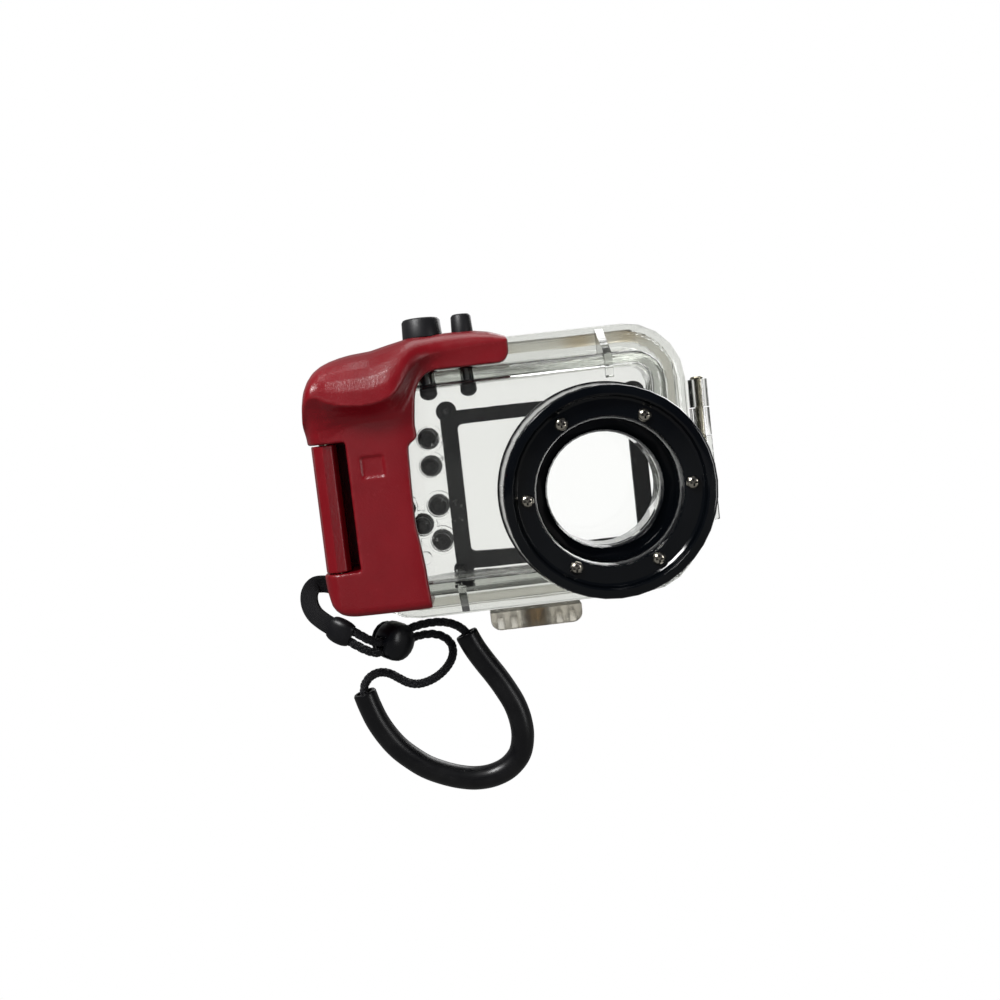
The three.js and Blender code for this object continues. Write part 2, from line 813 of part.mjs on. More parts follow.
function portScrew([x, z]) {
  const headY = bezelFloorY - fitGap;
  const topY = headY - screwHeadHeight;
  const body = turnedY([
    [0, screwTipY],
    [screwRadius - fitGap, screwTipY],
    [screwRadius, screwTipY - screwRadius / 2],
    [screwRadius, headY],
    [screwHeadRadius, headY],
    [screwHeadRadius, headY - screwHeadHeight / 3],
    [screwHeadRadius - screwHeadHeight / 4, topY + screwHeadHeight / 4],
    [screwHeadRadius / 2, topY],
    [0, topY],
  ], x, z, tipSides);
  const floorY = topY + driveDepth;
  const [half, span] = [driveWidth / 2, driveSpan / 2];
  const level = block(x - span, x + span, topY - overrun, floorY, z - half, z + half);
  const upright = block(x - half, x + half, topY - overrun, floorY, z - span, z + span);
  return cut(body, level, upright);
}

// Tripod foot: a cored block with a boss for the insert
function tripodFoot() {
  const [halfWidth, frontY, backY] = [footWidth / 2, rimFrontY, doorBackY];
  const outline = new THREE.Shape();
  outline.moveTo(-halfWidth, footHeight);
  outline.lineTo(-halfWidth, footCorner);
  outline.absarc(-halfWidth + footCorner, footCorner, footCorner, Math.PI, 1.5 * Math.PI);
  outline.absarc(halfWidth - footCorner, footCorner, footCorner, -Math.PI / 2, 0);
  outline.lineTo(halfWidth, footHeight);
  const blank = alongY(outline, frontY, backY);
  const floorZ = footHeight - footRib;
  const pockets = [-1, 1].flatMap((side) => [0, 1].map((row) => {
    const near = footBossRadius + row * (halfWidth - footBossRadius) / 2;
    const width = (halfWidth - footBossRadius) / 2 - footRib;
    const edges = [side * near, side * (near + width)].sort((a, b) => a - b);
    return block(edges[0], edges[1], frontY + footRib, backY - footRib, -overrun, floorZ);
  }));
  const bore = rodZ(insertRadius + fitGap, -overrun, insertHeight + fitGap, 0, 0, 2 * knurlCount);
  return cut(blank, ...pockets, bore);
}

function tripodInsert() {
  const outline = new THREE.Shape();
  const teeth = 2 * knurlCount;
  for (let i = 0; i < teeth; i++) {
    const radius = insertRadius - (i % 2) * knurlDepth;
    const angle = i * 2 * Math.PI / teeth;
    const point = [radius * Math.cos(angle), radius * Math.sin(angle)];
    if (i === 0) outline.moveTo(...point);
    else outline.lineTo(...point);
  }
  const bore = rodZ(tripodThreadRadius, -overrun, insertHeight + overrun, 0, 0);
  return cut(alongZ(outline, 0, insertHeight), bore);
}

// Grip cover: sections drawn across the housing, joined along it, then trimmed to the front outline.
// Shares run along the grip's length and up its height.
const topShares = [
  [0, 0.74], [0.007, 0.785], [0.029, 0.852], [0.075, 0.911], [0.141, 0.943], [0.238, 0.962], [0.319, 0.968],
  [0.377, 0.972], [0.407, 0.98], [0.494, 0.991], [0.561, 1], [0.84, 1], [0.94, 0.985], [1, 0.965],
];
const bottomShares = [
  [0, 0.25], [0.01, 0.19], [0.022, 0.08], [0.043, 0.037], [0.086, 0.01], [0.156, 0], [1, 0],
];
const ridgeShares = [
  [0, 0.7], [0.03, 0.78], [0.06, 0.808], [0.105, 0.813], [0.16, 0.785], [0.226, 0.772], [0.322, 0.765],
  [0.424, 0.781], [0.479, 0.814], [0.515, 0.853], [0.549, 0.888], [0.593, 0.912], [0.635, 0.923],
  [0.695, 0.931], [0.863, 0.941], [1, 0.945],
];
const underShares = [
  [0, 0.655], [0.11, 0.654], [0.153, 0.674], [0.206, 0.694], [0.288, 0.705], [0.377, 0.705], [0.46, 0.713],
  [0.515, 0.77], [0.549, 0.83], [0.6, 0.87], [1, 0.885],
];
const crownShares = [[0, 1], [0.42, 1], [0.5, 0.8], [0.58, 0.32], [0.66, 0.08], [0.75, 0], [1, 0]];
const shoulderShares = [[0, 0.75], [0.4, 0.75], [0.5, 0.62], [0.6, 0.5], [1, 0.5]];
const stationShares = [
  0, 0.008, 0.02, 0.035, 0.055, 0.08, 0.11, 0.15, 0.2, 0.25, 0.3, 0.35, 0.4,
  0.44, 0.47, 0.5, 0.53, 0.56, 0.59, 0.63, 0.69, 0.77, 0.85, 0.92, 0.96, 1,
];
const endFullnessShare = 0.5;

function gripSection(share) {
  const x = gripLeftX + share * (gripRightX - gripLeftX);
  const height = gripTopZ - gripBottomZ;
  const level = (table) => gripBottomZ + height * alongShares(table, share);
  const [bottomZ, topZ, ridgeZ, underZ] = [bottomShares, topShares, ridgeShares, underShares].map(level);
  const crown = alongShares(crownShares, share);
  const faceY = armFaceY + crown * (gripFaceY - armFaceY);
  const ridgeY = armFaceY - edgeBreak + crown * (crownY - armFaceY + edgeBreak);
  const shoulderY = ridgeY + (gripBackY - ridgeY) * alongShares(shoulderShares, share);
  const fromEnd = Math.min((x - gripLeftX) / gripEndRound, 1);
  const fullness = endFullnessShare + (1 - endFullnessShare) * Math.sqrt(1 - (1 - fromEnd) ** 2);
  const points = [[gripBackY, bottomZ]];
  for (let i = 0; i <= 3; i++) {
    const angle = i / 3 * Math.PI / 2;
    const y = faceY + gripEdgeRound * (1 - Math.sin(angle));
    points.push([y, bottomZ + gripEdgeRound * (1 - Math.cos(angle))]);
  }
  for (let i = 0; i <= 4; i++) {
    const t = i / 4;
    points.push([faceY + (ridgeY - faceY) * t ** 1.7, underZ + (ridgeZ - underZ) * t]);
  }
  for (let i = 1; i <= 7; i++) {
    const angle = i / 7 * Math.PI / 2;
    const y = shoulderY - (shoulderY - ridgeY) * Math.cos(angle) ** 0.9;
    points.push([y, ridgeZ + (topZ - ridgeZ) * Math.sin(angle) ** 0.9]);
  }
  points.push([gripBackY, topZ]);
  return points.map(([y, z]) => new THREE.Vector3(x, gripBackY + (y - gripBackY) * fullness, z));
}

// The grip's edge beside the clear window and round the end of its arm, as shares of its size
const edgeShares = [
  [0.509, -0.05], [0.509, 0.017], [0.503, 0.067], [0.497, 0.162], [0.484, 0.256], [0.475, 0.331],
  [0.477, 0.45], [0.482, 0.585], [0.492, 0.611], [0.523, 0.629], [0.528, 0.652], [0.525, 0.678],
  [0.533, 0.733], [0.547, 0.797], [0.583, 0.845], [0.633, 0.866], [0.7, 0.868],
];

function gripOutline() {
  const length = gripRightX - gripLeftX;
  const height = gripTopZ - gripBottomZ;
  const edge = edgeShares.map(([along, up]) => {
    return new THREE.Vector2(gripLeftX + along * length, gripBottomZ + up * height);
  });
  const armBottomZ = edge[edge.length - 1].y;
  const shape = new THREE.Shape();
  shape.moveTo(gripLeftX - overrun, edge[0].y);
  shape.lineTo(edge[0].x, edge[0].y);
  shape.lineTo(edge[1].x, edge[1].y);
  shape.splineThru(edge.slice(2));
  shape.lineTo(gripRightX - armRound, armBottomZ);
  shape.absarc(gripRightX - armRound, armBottomZ + armRound, armRound, -Math.PI / 2, 0);
  shape.absarc(gripRightX - armRound, gripTopZ - armRound, armRound, 0, Math.PI / 2);
  shape.lineTo(gripRightX - armRound, gripTopZ + overrun);
  shape.lineTo(gripLeftX - overrun, gripTopZ + overrun);
  return shape;
}

function gripCoverSolid() {
  const loft = ringStack(stationShares.map(gripSection));
  const outline = alongY(gripOutline(), crownY - overrun, gripBackY + overrun);
  const slotTopZ = latchTopZ + seatGap;
  const slotBottomZ = latchBottomZ - seatGap;
  const slot = block(
    gripLeftX - overrun, latchSlotX, crownY - overrun, gripBackY + overrun, slotBottomZ, slotTopZ,
  );
  const pinBore = rodZ(
    latchPinRadius + fitGap, slotBottomZ - latchPinBite, slotTopZ + latchPinBite, latchAxisX, latchAxisY,
  );
  const badge = block(
    badgeX - badgeWidth / 2, badgeX + badgeWidth / 2,
    gripFaceY - overrun, gripFaceY + badgeDepth,
    badgeZ - badgeHeight / 2, badgeZ + badgeHeight / 2,
  );
  const pockets = [shutter, power].map((button) => turnedZ([
    [0, topWallOuterZ - overrun],
    [button.stem + seatGap, topWallOuterZ - overrun],
    [button.stem + seatGap, gripTopZ - capPocket],
    [button.capRadius + seatGap, gripTopZ - capPocket],
    [button.capRadius + seatGap, gripTopZ + overrun],
    [0, gripTopZ + overrun],
  ], topButtonX(button), topButtonY, 2 * roundSides));
  const body = loft.intersect(outline);
  return join(cut(body, tubOutside(seatGap), slot, pinBore, badge, ...pockets), strapLug());
}

function strapLug() {
  const [leftX, rightX] = [lugLeftX, lugLeftX + lugBarWidth];
  const rootY = gripBackY - overrun;
  const barY = gripBackY + lugWindow;
  const topZ = lugBottomZ + 2 * lugEar + strapWidth + 2 * seatGap;
  const blank = block(leftX, rightX, rootY, barY + lugBarDepth, lugBottomZ, topZ);
  const [fromX, toX] = [leftX - overrun, rightX + overrun];
  return cut(blank, block(fromX, toX, rootY - overrun, barY, lugBottomZ + lugEar, topZ - lugEar));
}

// Latch: swings about its pin and hooks behind the door's catch
function latch() {
  const outerX = latchAxisX - latchBarrel;
  const innerX = outerX + latchPlate;
  const lipX = shellLeftX - 2 * seatGap;
  const shape = new THREE.Shape();
  shape.moveTo(outerX, latchAxisY);
  shape.absarc(latchAxisX, latchAxisY, latchBarrel, Math.PI, 2.5 * Math.PI);
  shape.lineTo(innerX, latchAxisY + latchBarrel + latchPlate);
  shape.lineTo(innerX, latchEndY);
  shape.lineTo(lipX, latchEndY);
  shape.lineTo(lipX, latchEndY + latchLip - edgeBreak);
  shape.lineTo(lipX - edgeBreak, latchEndY + latchLip);
  shape.lineTo(innerX, latchEndY + latchLip);
  shape.lineTo(innerX - latchFlare, latchEndY + latchLip + latchTab);
  shape.lineTo(outerX - latchFlare, latchEndY + latchLip + latchTab - edgeBreak);
  shape.lineTo(outerX, latchEndY);
  const [fromZ, toZ] = [latchBottomZ - overrun, latchTopZ + overrun];
  const bore = rodZ(latchPinRadius + fitGap, fromZ, toZ, latchAxisX, latchAxisY);
  return cut(alongZ(shape, latchBottomZ, latchTopZ), bore);
}

function latchPin() {
  const bite = seatGap + latchPinBite - fitGap;
  return rodZ(latchPinRadius, latchBottomZ - bite, latchTopZ + bite, latchAxisX, latchAxisY);
}

// Top buttons: cap with stem, rubber tip, spring and O-ring
function topButton(button) {
  const capBottomZ = gripTopZ - capHold;
  const tipZ = topWallInnerZ - seatGap;
  return turnedZ([
    [0, tipZ - tipBite],
    [button.stem, tipZ - tipBite],
    [button.stem, capBottomZ],
    [button.capRadius, capBottomZ],
    [button.capRadius - capRound / 3, topCapZ(button) - capRound],
    [button.capRadius - capRound, topCapZ(button)],
    [0, topCapZ(button)],
  ], topButtonX(button), topButtonY, 1.5 * roundSides);
}

function topTip(button) {
  const topZ = topWallInnerZ - seatGap;
  const bottomZ = topZ - tipLength;
  return turnedZ([
    [0, bottomZ],
    [button.tip / 2, bottomZ + fitGap],
    [button.tip - fitGap, bottomZ + button.tip / 3],
    [button.tip, bottomZ + button.tip / 2],
    [button.tip, topZ],
    [button.stem + fitGap / 2, topZ],
    [button.stem + fitGap / 2, topZ - tipBite - fitGap],
    [0, topZ - tipBite - fitGap],
  ], topButtonX(button), topButtonY);
}

function topORing(button) {
  const section = oRingSection / 2;
  const radius = button.stem + section + fitGap / 2;
  const geometry = new THREE.TorusGeometry(radius, section - fitGap / 2, sealSides, roundSides);
  return solid(geometry.translate(topButtonX(button), topButtonY, topWallOuterZ - section));
}

// An open coil as one tube; place() carries a point from the coil's own frame to the housing's
function coil(radius, wire, length, turns, place) {
  const stations = turns * turnSteps;
  const rings = Array.from({ length: stations + 1 }, (_, i) => {
    const angle = i / turnSteps * 2 * Math.PI;
    const rise = wire + (length - 2 * wire) * i / stations;
    return Array.from({ length: wireSides }, (_, j) => {
      const turn = j / wireSides * 2 * Math.PI;
      const reach = radius + wire * Math.cos(turn);
      return place(reach * Math.cos(angle), reach * Math.sin(angle), rise + wire * Math.sin(turn));
    });
  });
  printLeastGap(rings, wire);
  return ringStack(rings);
}

// The least clear space between one turn of a coil and another
function printLeastGap(rings, wire) {
  const centres = rings.map((ring) => {
    const sum = ring.reduce((total, p) => total.add(p), new THREE.Vector3());
    return sum.divideScalar(ring.length);
  });
  let least = Infinity;
  centres.forEach((centre, i) => {
    for (const other of centres.slice(i + turnSteps / 2)) least = Math.min(least, centre.distanceTo(other));
  });
  console.log(`spring: least gap between turns ${(least - 2 * wire).toFixed(2)} mm`);
}

function topSpring(button) {
  const floorZ = gripTopZ - capPocket + fitGap;
  const length = capPocket - capHold - 2 * fitGap;
  const place = (x, y, rise) => new THREE.Vector3(topButtonX(button) + x, topButtonY + y, floorZ + rise);
  return coil(button.coil, springWire / 2, length, springTurns, place);
}

// Rear buttons
function rearButton([x, z]) {
  return turnedY([
    [0, rearTipFaceY + edgeBreak + fitGap],
    [rearStem, rearTipFaceY + edgeBreak + fitGap],
    [rearStem, rearCapBackY],
    [rearCapRadius, rearCapBackY],
    [rearCapRadius, rearCapFaceY - edgeBreak],
    [rearCapRadius - edgeBreak, rearCapFaceY],
    [0, rearCapFaceY - edgeBreak / 2],
  ], x, z, roundSides);
}

function rearButtonTip([x, z]) {
  const [faceY, backY] = [rearTipFaceY, doorInnerY - seatGap];
  return turnedY([
    [0, faceY],
    [rearTip / 3, faceY],
    [rearTip * 2 / 3, faceY + edgeBreak / 2],
    [rearTip, faceY + edgeBreak],
    [rearTip, backY],
    [rearStem + fitGap, backY],
    [rearStem + fitGap, faceY + edgeBreak],
    [0, faceY + edgeBreak],
  ], x, z, tipSides);
}

// Lanyard: the flat strap turns round the lug's bar, and the cords run through the lock into the tube
const strapRoute = [
  [-59.4, -2.8, 18.3], [-61.7, -3, 18.9], [-64.1, -4.1, 18.9], [-65.5, -6, 17], [-65.4, -8.3, 14.2],
  [-63.9, -11, 11.7], [-61.5, -13.5, 9.9], [-58.8, -15.5, 8.3], [-55.9, -16.8, 6.6], [-53.4, -17.1, 5.1],
];
const nearRoute = [
  [-54.3, -16.9, 7.4], [-52.6, -17.1, 6.4], [-50.8, -17.3, 5.2], [-48.8, -16.7, 3.6], [-46.9, -15.2, 2.3],
  [-44.9, -13.5, 1.9], [-42, -10.8, 2.5], [-39.1, -8.1, 3], [-37.2, -6.5, 3.4], [-34.6, -4.9, 3.7],
  [-31.4, -4.5, 3.9], [-28.2, -5.3, 3.9], [-25.3, -6.7, 3.4], [-22.9, -7.9, 2.3], [-21.4, -8.4, 0.8],
  [-20.4, -8.5, -1.5],
];
const farRoute = [
  [-55.9, -16.9, 4.8], [-54.2, -17.1, 3.8], [-52.3, -17.3, 2.5], [-49.8, -16.6, 0.6], [-47.2, -15, -0.9],
  [-44.9, -12.9, -1], [-42, -10.2, -0.5], [-39.1, -7.5, 0.1], [-37.2, -5.9, 0.3], [-34.4, -4.3, 0.5],
  [-31, -3.9, 0.3], [-27.9, -4.4, -0.9], [-25.9, -5.6, -3.2], [-25.9, -7, -6], [-27.5, -8.1, -8.6],
  [-30.2, -8.9, -10.8], [-33.4, -9.4, -12.2], [-36.7, -9.6, -12.7], [-39.6, -9.6, -12], [-42.1, -9.6, -10.4],
  [-44.6, -9.6, -8.7], [-47.3, -9.6, -8], [-50, -9.6, -8.7], [-52, -9.6, -10.6], [-52.8, -9.6, -13],
  [-52.5, -9.6, -15.2],
];
const tubeRoute = [
  [-21.2, -8.5, 0.4], [-19.2, -8.7, -4.2], [-16.7, -8.9, -8.6], [-14, -9.1, -12.9], [-11.5, -9.3, -17.4],
  [-9.4, -9.3, -22.1], [-8.2, -9.3, -27.1], [-8.1, -9.1, -32.3], [-9.6, -9, -37.3], [-13.2, -8.8, -41],
  [-17.9, -8.6, -42.9], [-23, -8.6, -43.2], [-28, -8.6, -42.2], [-32.8, -8.6, -40.4], [-37.3, -8.7, -38],
  [-41.3, -8.8, -34.8], [-44.9, -9, -31.1], [-47.8, -9.2, -26.8], [-50.1, -9.3, -22.2], [-51.7, -9.5, -17.3],
  [-52.7, -9.6, -13.3],
];

function lanyardStrap() {
  const half = strapThickness / 2;
  const barLeft = lugLeftX - seatGap;
  const barRight = lugLeftX + lugBarWidth + seatGap;
  const barFront = gripBackY + lugWindow - seatGap;
  const barBack = gripBackY + lugWindow + lugBarDepth + seatGap;
  const outer = roundedPlan(barLeft - strapThickness, barRight + strapThickness, barFront - strapThickness,
    barBack + strapThickness, strapThickness + half);
  outer.holes.push(roundedPlan(barLeft, barRight, barFront, barBack, half));
  const bottomZ = lugBottomZ + lugEar + seatGap;
  const loop = alongZ(outer, bottomZ, bottomZ + strapWidth);
  const band = ribbon(strapRoute.slice(0, -1), strapWidth - 2 * fitGap, 2 * strapThickness - fitGap, 20);
  const sleeve = ribbon(strapRoute.slice(-3), sleeveWidth, sleeveThickness, 3);
  const sockets = [nearRoute, farRoute].map((route) => socket(route[1], route[0]));
  return cut(join(loop, band, sleeve), ...sockets);
}

function roundedPlan(fromX, toX, fromY, toY, radius) {
  const shape = new THREE.Shape();
  shape.absarc(toX - radius, toY - radius, radius, 0, Math.PI / 2);
  shape.absarc(fromX + radius, toY - radius, radius, Math.PI / 2, Math.PI);
  shape.absarc(fromX + radius, fromY + radius, radius, Math.PI, 1.5 * Math.PI);
  shape.absarc(toX - radius, fromY + radius, radius, 1.5 * Math.PI, 2 * Math.PI);
  return shape;
}

// A flat band whose width stays in the XZ plane
function ribbon(route, width, thickness, steps) {
  const path = new THREE.CatmullRomCurve3(route.map(([x, y, z]) => new THREE.Vector3(x, y, z)));
  const rings = Array.from({ length: steps + 1 }, (_, i) => {
    const at = path.getPointAt(i / steps);
    const tangent = path.getTangentAt(i / steps);
    const across = new THREE.Vector3(-tangent.z, 0, tangent.x).normalize();
    const out = new THREE.Vector3().crossVectors(tangent, across).normalize();
    return [[1, 1], [-1, 1], [-1, -1], [1, -1]].map(([a, b]) => {
      return at.clone().addScaledVector(across, a * width / 2).addScaledVector(out, b * thickness / 2);
    });
  });
  return ringStack(rings);
}

// A round hole along the stretch that a cord's end takes inside another piece
const socketShares = [-0.6, 0, 0.6, 1.15];

function socket(mouth, end) {
  const [from, to] = [new THREE.Vector3(...mouth), new THREE.Vector3(...end)];
  const path = socketShares.map((share) => from.clone().lerp(to, share).toArray());
  return sweptTube(path, cordRadius + seatGap, cordSides, 3);
}

function wristTube() {
  const tube = sweptTube(tubeRoute, tubeRadius, tubeSides, 36);
  const sockets = [nearRoute, farRoute].map((route) => socket(...route.slice(-2)));
  return cut(tube, ...sockets);
}

function cord(route, steps) {
  return sweptTube(route, cordRadius, cordSides, steps);
}

// Cord lock: a domed barrel and its plunger, drawn about their own axis with the dome towards +Y
const slotHalf = cordRadius + seatGap;
const lockBackY = -slotHalf - lockWall;
const plungerEndY = slotHalf + lockWall / 2;
const lockBoreY = plungerEndY + lockTravel + fitGap;

function cordLock() {
  const rise = lockBoreY + lockDome - slotHalf;
  const dome = [0, 1, 2, 3, 4].map((step) => {
    const angle = step / 5 * Math.PI / 2;
    return [lockRadius * Math.cos(angle), slotHalf + rise * Math.sin(angle) ** 0.8];
  });
  const rim = lockBackY + edgeBreak;
  const outside = [[0, lockBackY], [lockRadius - edgeBreak / 2, lockBackY], [lockRadius, rim]];
  const body = turnedY([...outside, ...dome, [0, slotHalf + rise]], 0, 0, 1.25 * roundSides);
  const bore = rodY(lockBore, lockBackY - overrun, lockBoreY, 0, 0, roundSides);
  return cut(body, bore, strandSlot(0));
}

function strandSlot(extra) {
  const [reach, halfHeight] = [lockRadius + overrun, strandOffset + slotHalf];
  return block(-reach, reach, -slotHalf - extra, slotHalf, -halfHeight, halfHeight);
}

function cordLockPlunger() {
  const headY = lockBackY - lockTravel - seatGap;
  const body = turnedY([
    [0, headY - lockHead],
    [lockHeadRadius - edgeBreak, headY - lockHead],
    [lockHeadRadius, headY - lockHead + edgeBreak],
    [lockHeadRadius, headY],
    [lockBore - fitGap, headY],
    [lockBore - fitGap, plungerEndY],
    [0, plungerEndY],
  ], 0, 0, roundSides);
  return cut(body, strandSlot(lockTravel));
}

// Materials
const clear = { color: 0xe8eef0, roughness: 0.08, metalness: 0, transparent: true, opacity: 0.35 };
const frosted = { color: 0xc4c6c2, roughness: 0.45, metalness: 0 };
const glossBlack = { color: 0x0c0d10, roughness: 0.15, metalness: 0 };
const satinBlack = { color: 0x1b1c1e, roughness: 0.5, metalness: 0 };
const rubberBlack = { color: 0x141416, roughness: 0.75, metalness: 0 };
const red = { color: 0x7d1420, roughness: 0.45, metalness: 0 };
const steel = { color: 0xb9bbbd, roughness: 0.25, metalness: 1 };
const brass = { color: 0xb08d4a, roughness: 0.35, metalness: 1 };
const silicone = { color: 0xb99b5a, roughness: 0.6, metalness: 0 };
const glass = { color: 0xf4f8fa, roughness: 0.02, metalness: 0, transparent: true, opacity: 0.2 };

const housing = new THREE.Group();

function add(name, manifold, finish, parent = housing) {
  const mesh = new THREE.Mesh(geometryOf(manifold), new THREE.MeshStandardMaterial(finish));
  mesh.name = name;
  parent.add(mesh);
}

add("front_shell", frontShell(), clear);
add("rear_door", rearDoor(), clear);
add("door_gasket", doorGasket(), silicone);
add("hinge_pin", hingePin(), steel);
add("port_bezel", portBezel(), glossBlack);
add("port_collar", portCollar(), clear);
add("port_gasket", portGasket(), rubberBlack);
add("port_glass", portGlass(), glass);
add("glass_o_ring", glassORing(), rubberBlack);
screwPlaces().forEach((place, i) => add(`port_screw_${i + 1}`, portScrew(place), steel));
add("lcd_frame", lcdFrame(), satinBlack);
add("grip_cover", gripCoverSolid(), red);
add("latch", latch(), red);
add("latch_pin", latchPin(), steel);
for (const button of [shutter, power]) {
  add(`${button.name}_button`, topButton(button), satinBlack);
  add(`${button.name}_tip`, topTip(button), rubberBlack);
  add(`${button.name}_spring`, topSpring(button), steel);
  add(`${button.name}_o_ring`, topORing(button), rubberBlack);
}
rearPlaces().forEach((place, i) => {
  add(`rear_button_${i + 1}`, rearButton(place), satinBlack);
  add(`rear_tip_${i + 1}`, rearButtonTip(place), rubberBlack);
});
add("tripod_foot", tripodFoot(), frosted);
add("tripod_insert", tripodInsert(), brass);
add("lanyard_strap", lanyardStrap(), satinBlack);
add("lanyard_cord_near", cord(nearRoute, 20), satinBlack);
add("lanyard_cord_far", cord(farRoute, 34), satinBlack);
add("wrist_tube", wristTube(), rubberBlack);

const lockGroup = new THREE.Group();
lockGroup.position.set(lockX, lockY, lockZ);
lockGroup.rotation.set(lockTilt, 0, Math.PI + lockTurn);
housing.add(lockGroup);
add("cord_lock", cordLock(), glossBlack, lockGroup);
add("cord_lock_plunger", cordLockPlunger(), satinBlack, lockGroup);

export default housing;
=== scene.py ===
import json
import math

import bmesh
import bpy
import numpy as np
from mathutils import Matrix, Vector

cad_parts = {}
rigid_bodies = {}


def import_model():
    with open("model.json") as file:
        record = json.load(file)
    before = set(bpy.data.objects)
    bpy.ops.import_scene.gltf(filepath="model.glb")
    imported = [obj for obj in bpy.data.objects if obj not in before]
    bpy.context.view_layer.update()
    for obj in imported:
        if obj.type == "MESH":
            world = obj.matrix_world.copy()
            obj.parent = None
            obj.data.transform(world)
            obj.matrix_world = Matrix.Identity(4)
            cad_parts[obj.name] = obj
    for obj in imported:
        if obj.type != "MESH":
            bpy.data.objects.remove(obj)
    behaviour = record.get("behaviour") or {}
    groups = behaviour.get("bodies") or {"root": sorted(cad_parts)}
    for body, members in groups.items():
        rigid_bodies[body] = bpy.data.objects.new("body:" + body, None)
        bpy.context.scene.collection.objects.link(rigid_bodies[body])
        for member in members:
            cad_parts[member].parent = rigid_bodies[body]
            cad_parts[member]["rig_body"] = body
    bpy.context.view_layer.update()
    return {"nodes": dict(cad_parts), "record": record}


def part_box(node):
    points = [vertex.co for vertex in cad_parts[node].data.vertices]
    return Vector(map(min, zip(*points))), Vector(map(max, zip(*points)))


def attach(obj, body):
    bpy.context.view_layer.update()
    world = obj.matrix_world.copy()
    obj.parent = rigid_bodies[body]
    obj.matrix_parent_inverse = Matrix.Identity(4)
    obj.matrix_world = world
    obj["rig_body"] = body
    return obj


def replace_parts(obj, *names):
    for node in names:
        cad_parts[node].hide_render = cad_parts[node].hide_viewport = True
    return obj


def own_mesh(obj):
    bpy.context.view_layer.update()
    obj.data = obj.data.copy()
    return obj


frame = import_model()
NODES = frame["nodes"]
MM = 0.001


# Camera, at the photograph's viewpoint: its place in millimetres and its turn off the front view in radians
CAMERA_PLACE = (-11.9507, -298.2096, 61.1011)
CAMERA_TURN = (0.078, -0.022, -0.114)


def make_camera():
    turn = Vector(CAMERA_TURN)
    rows = Matrix.Rotation(turn.length, 3, turn) @ Matrix(((1, 0, 0), (0, 0, -1), (0, 1, 0)))
    facing = Matrix((rows[0], -rows[1], -rows[2])).transposed()
    data = bpy.data.cameras.new("camera")
    data.sensor_width = 36
    data.lens = 36
    data.clip_start = 0.01
    data.clip_end = 50
    camera = bpy.data.objects.new("camera", data)
    camera.matrix_world = Matrix.Translation(Vector(CAMERA_PLACE) * MM) @ facing.to_4x4()
    bpy.context.scene.collection.objects.link(camera)
    bpy.context.scene.camera = camera


make_camera()


# Routes of the lanyard, as in the part's source
STRAP = [
    (-59.4, -2.8, 18.3), (-61.7, -3, 18.9), (-64.1, -4.1, 18.9), (-65.5, -6, 17), (-65.4, -8.3, 14.2),
    (-63.9, -11, 11.7), (-61.5, -13.5, 9.9), (-58.8, -15.5, 8.3), (-55.9, -16.8, 6.6), (-53.4, -17.1, 5.1),
]
NEAR = [
    (-54.3, -16.9, 7.4), (-52.6, -17.1, 6.4), (-50.8, -17.3, 5.2), (-48.8, -16.7, 3.6), (-46.9, -15.2, 2.3),
    (-44.9, -13.5, 1.9), (-42, -10.8, 2.5), (-39.1, -8.1, 3), (-37.2, -6.5, 3.4), (-34.6, -4.9, 3.7),
    (-31.4, -4.5, 3.9), (-28.2, -5.3, 3.9), (-25.3, -6.7, 3.4), (-22.9, -7.9, 2.3), (-21.4, -8.4, 0.8),
    (-20.4, -8.5, -1.5),
]
FAR = [
    (-55.9, -16.9, 4.8), (-54.2, -17.1, 3.8), (-52.3, -17.3, 2.5), (-49.8, -16.6, 0.6), (-47.2, -15, -0.9),
    (-44.9, -12.9, -1), (-42, -10.2, -0.5), (-39.1, -7.5, 0.1), (-37.2, -5.9, 0.3), (-34.4, -4.3, 0.5),
    (-31, -3.9, 0.3), (-27.9, -4.4, -0.9), (-25.9, -5.6, -3.2), (-25.9, -7, -6), (-27.5, -8.1, -8.6),
    (-30.2, -8.9, -10.8), (-33.4, -9.4, -12.2), (-36.7, -9.6, -12.7), (-39.6, -9.6, -12),
    (-42.1, -9.6, -10.4), (-44.6, -9.6, -8.7), (-47.3, -9.6, -8), (-50, -9.6, -8.7),
    (-52, -9.6, -10.6), (-52.8, -9.6, -13), (-52.5, -9.6, -15.2),
]
TUBE = [
    (-21.2, -8.5, 0.4), (-19.2, -8.7, -4.2), (-16.7, -8.9, -8.6), (-14, -9.1, -12.9), (-11.5, -9.3, -17.4),
    (-9.4, -9.3, -22.1), (-8.2, -9.3, -27.1), (-8.1, -9.1, -32.3), (-9.6, -9, -37.3), (-13.2, -8.8, -41),
    (-17.9, -8.6, -42.9), (-23, -8.6, -43.2), (-28, -8.6, -42.2), (-32.8, -8.6, -40.4), (-37.3, -8.7, -38),
    (-41.3, -8.8, -34.8), (-44.9, -9, -31.1), (-47.8, -9.2, -26.8), (-50.1, -9.3, -22.2),
    (-51.7, -9.5, -17.3), (-52.7, -9.6, -13.3),
]
STRAP_START = (-58.8, -2.8, 18.1)

# Lanyard, in millimetres
CORD_RADIUS = 1.35
BRAID_CARRIERS = 6
BRAID_PITCH = 7.0
BRAID_STRAND = 0.4
BRAID_COVER = 0.52
TUBE_RADIUS = 3.4
TUBE_WALL = 1.0
TUBE_MOUTH_STEPS = 8
STRAP_WIDTH = 5.0
STRAP_THICKNESS = 1.0
STRAP_LAYER_GAP = 0.53
LOOP_X = (-58.5, -54.9)
LOOP_Y = (-4.3, -1.3)
LOOP_BOTTOM = 15.1
LOOP_CORNER = 0.5
SLEEVE_WIDTH = 7.5
SLEEVE_THICKNESS = 4.3

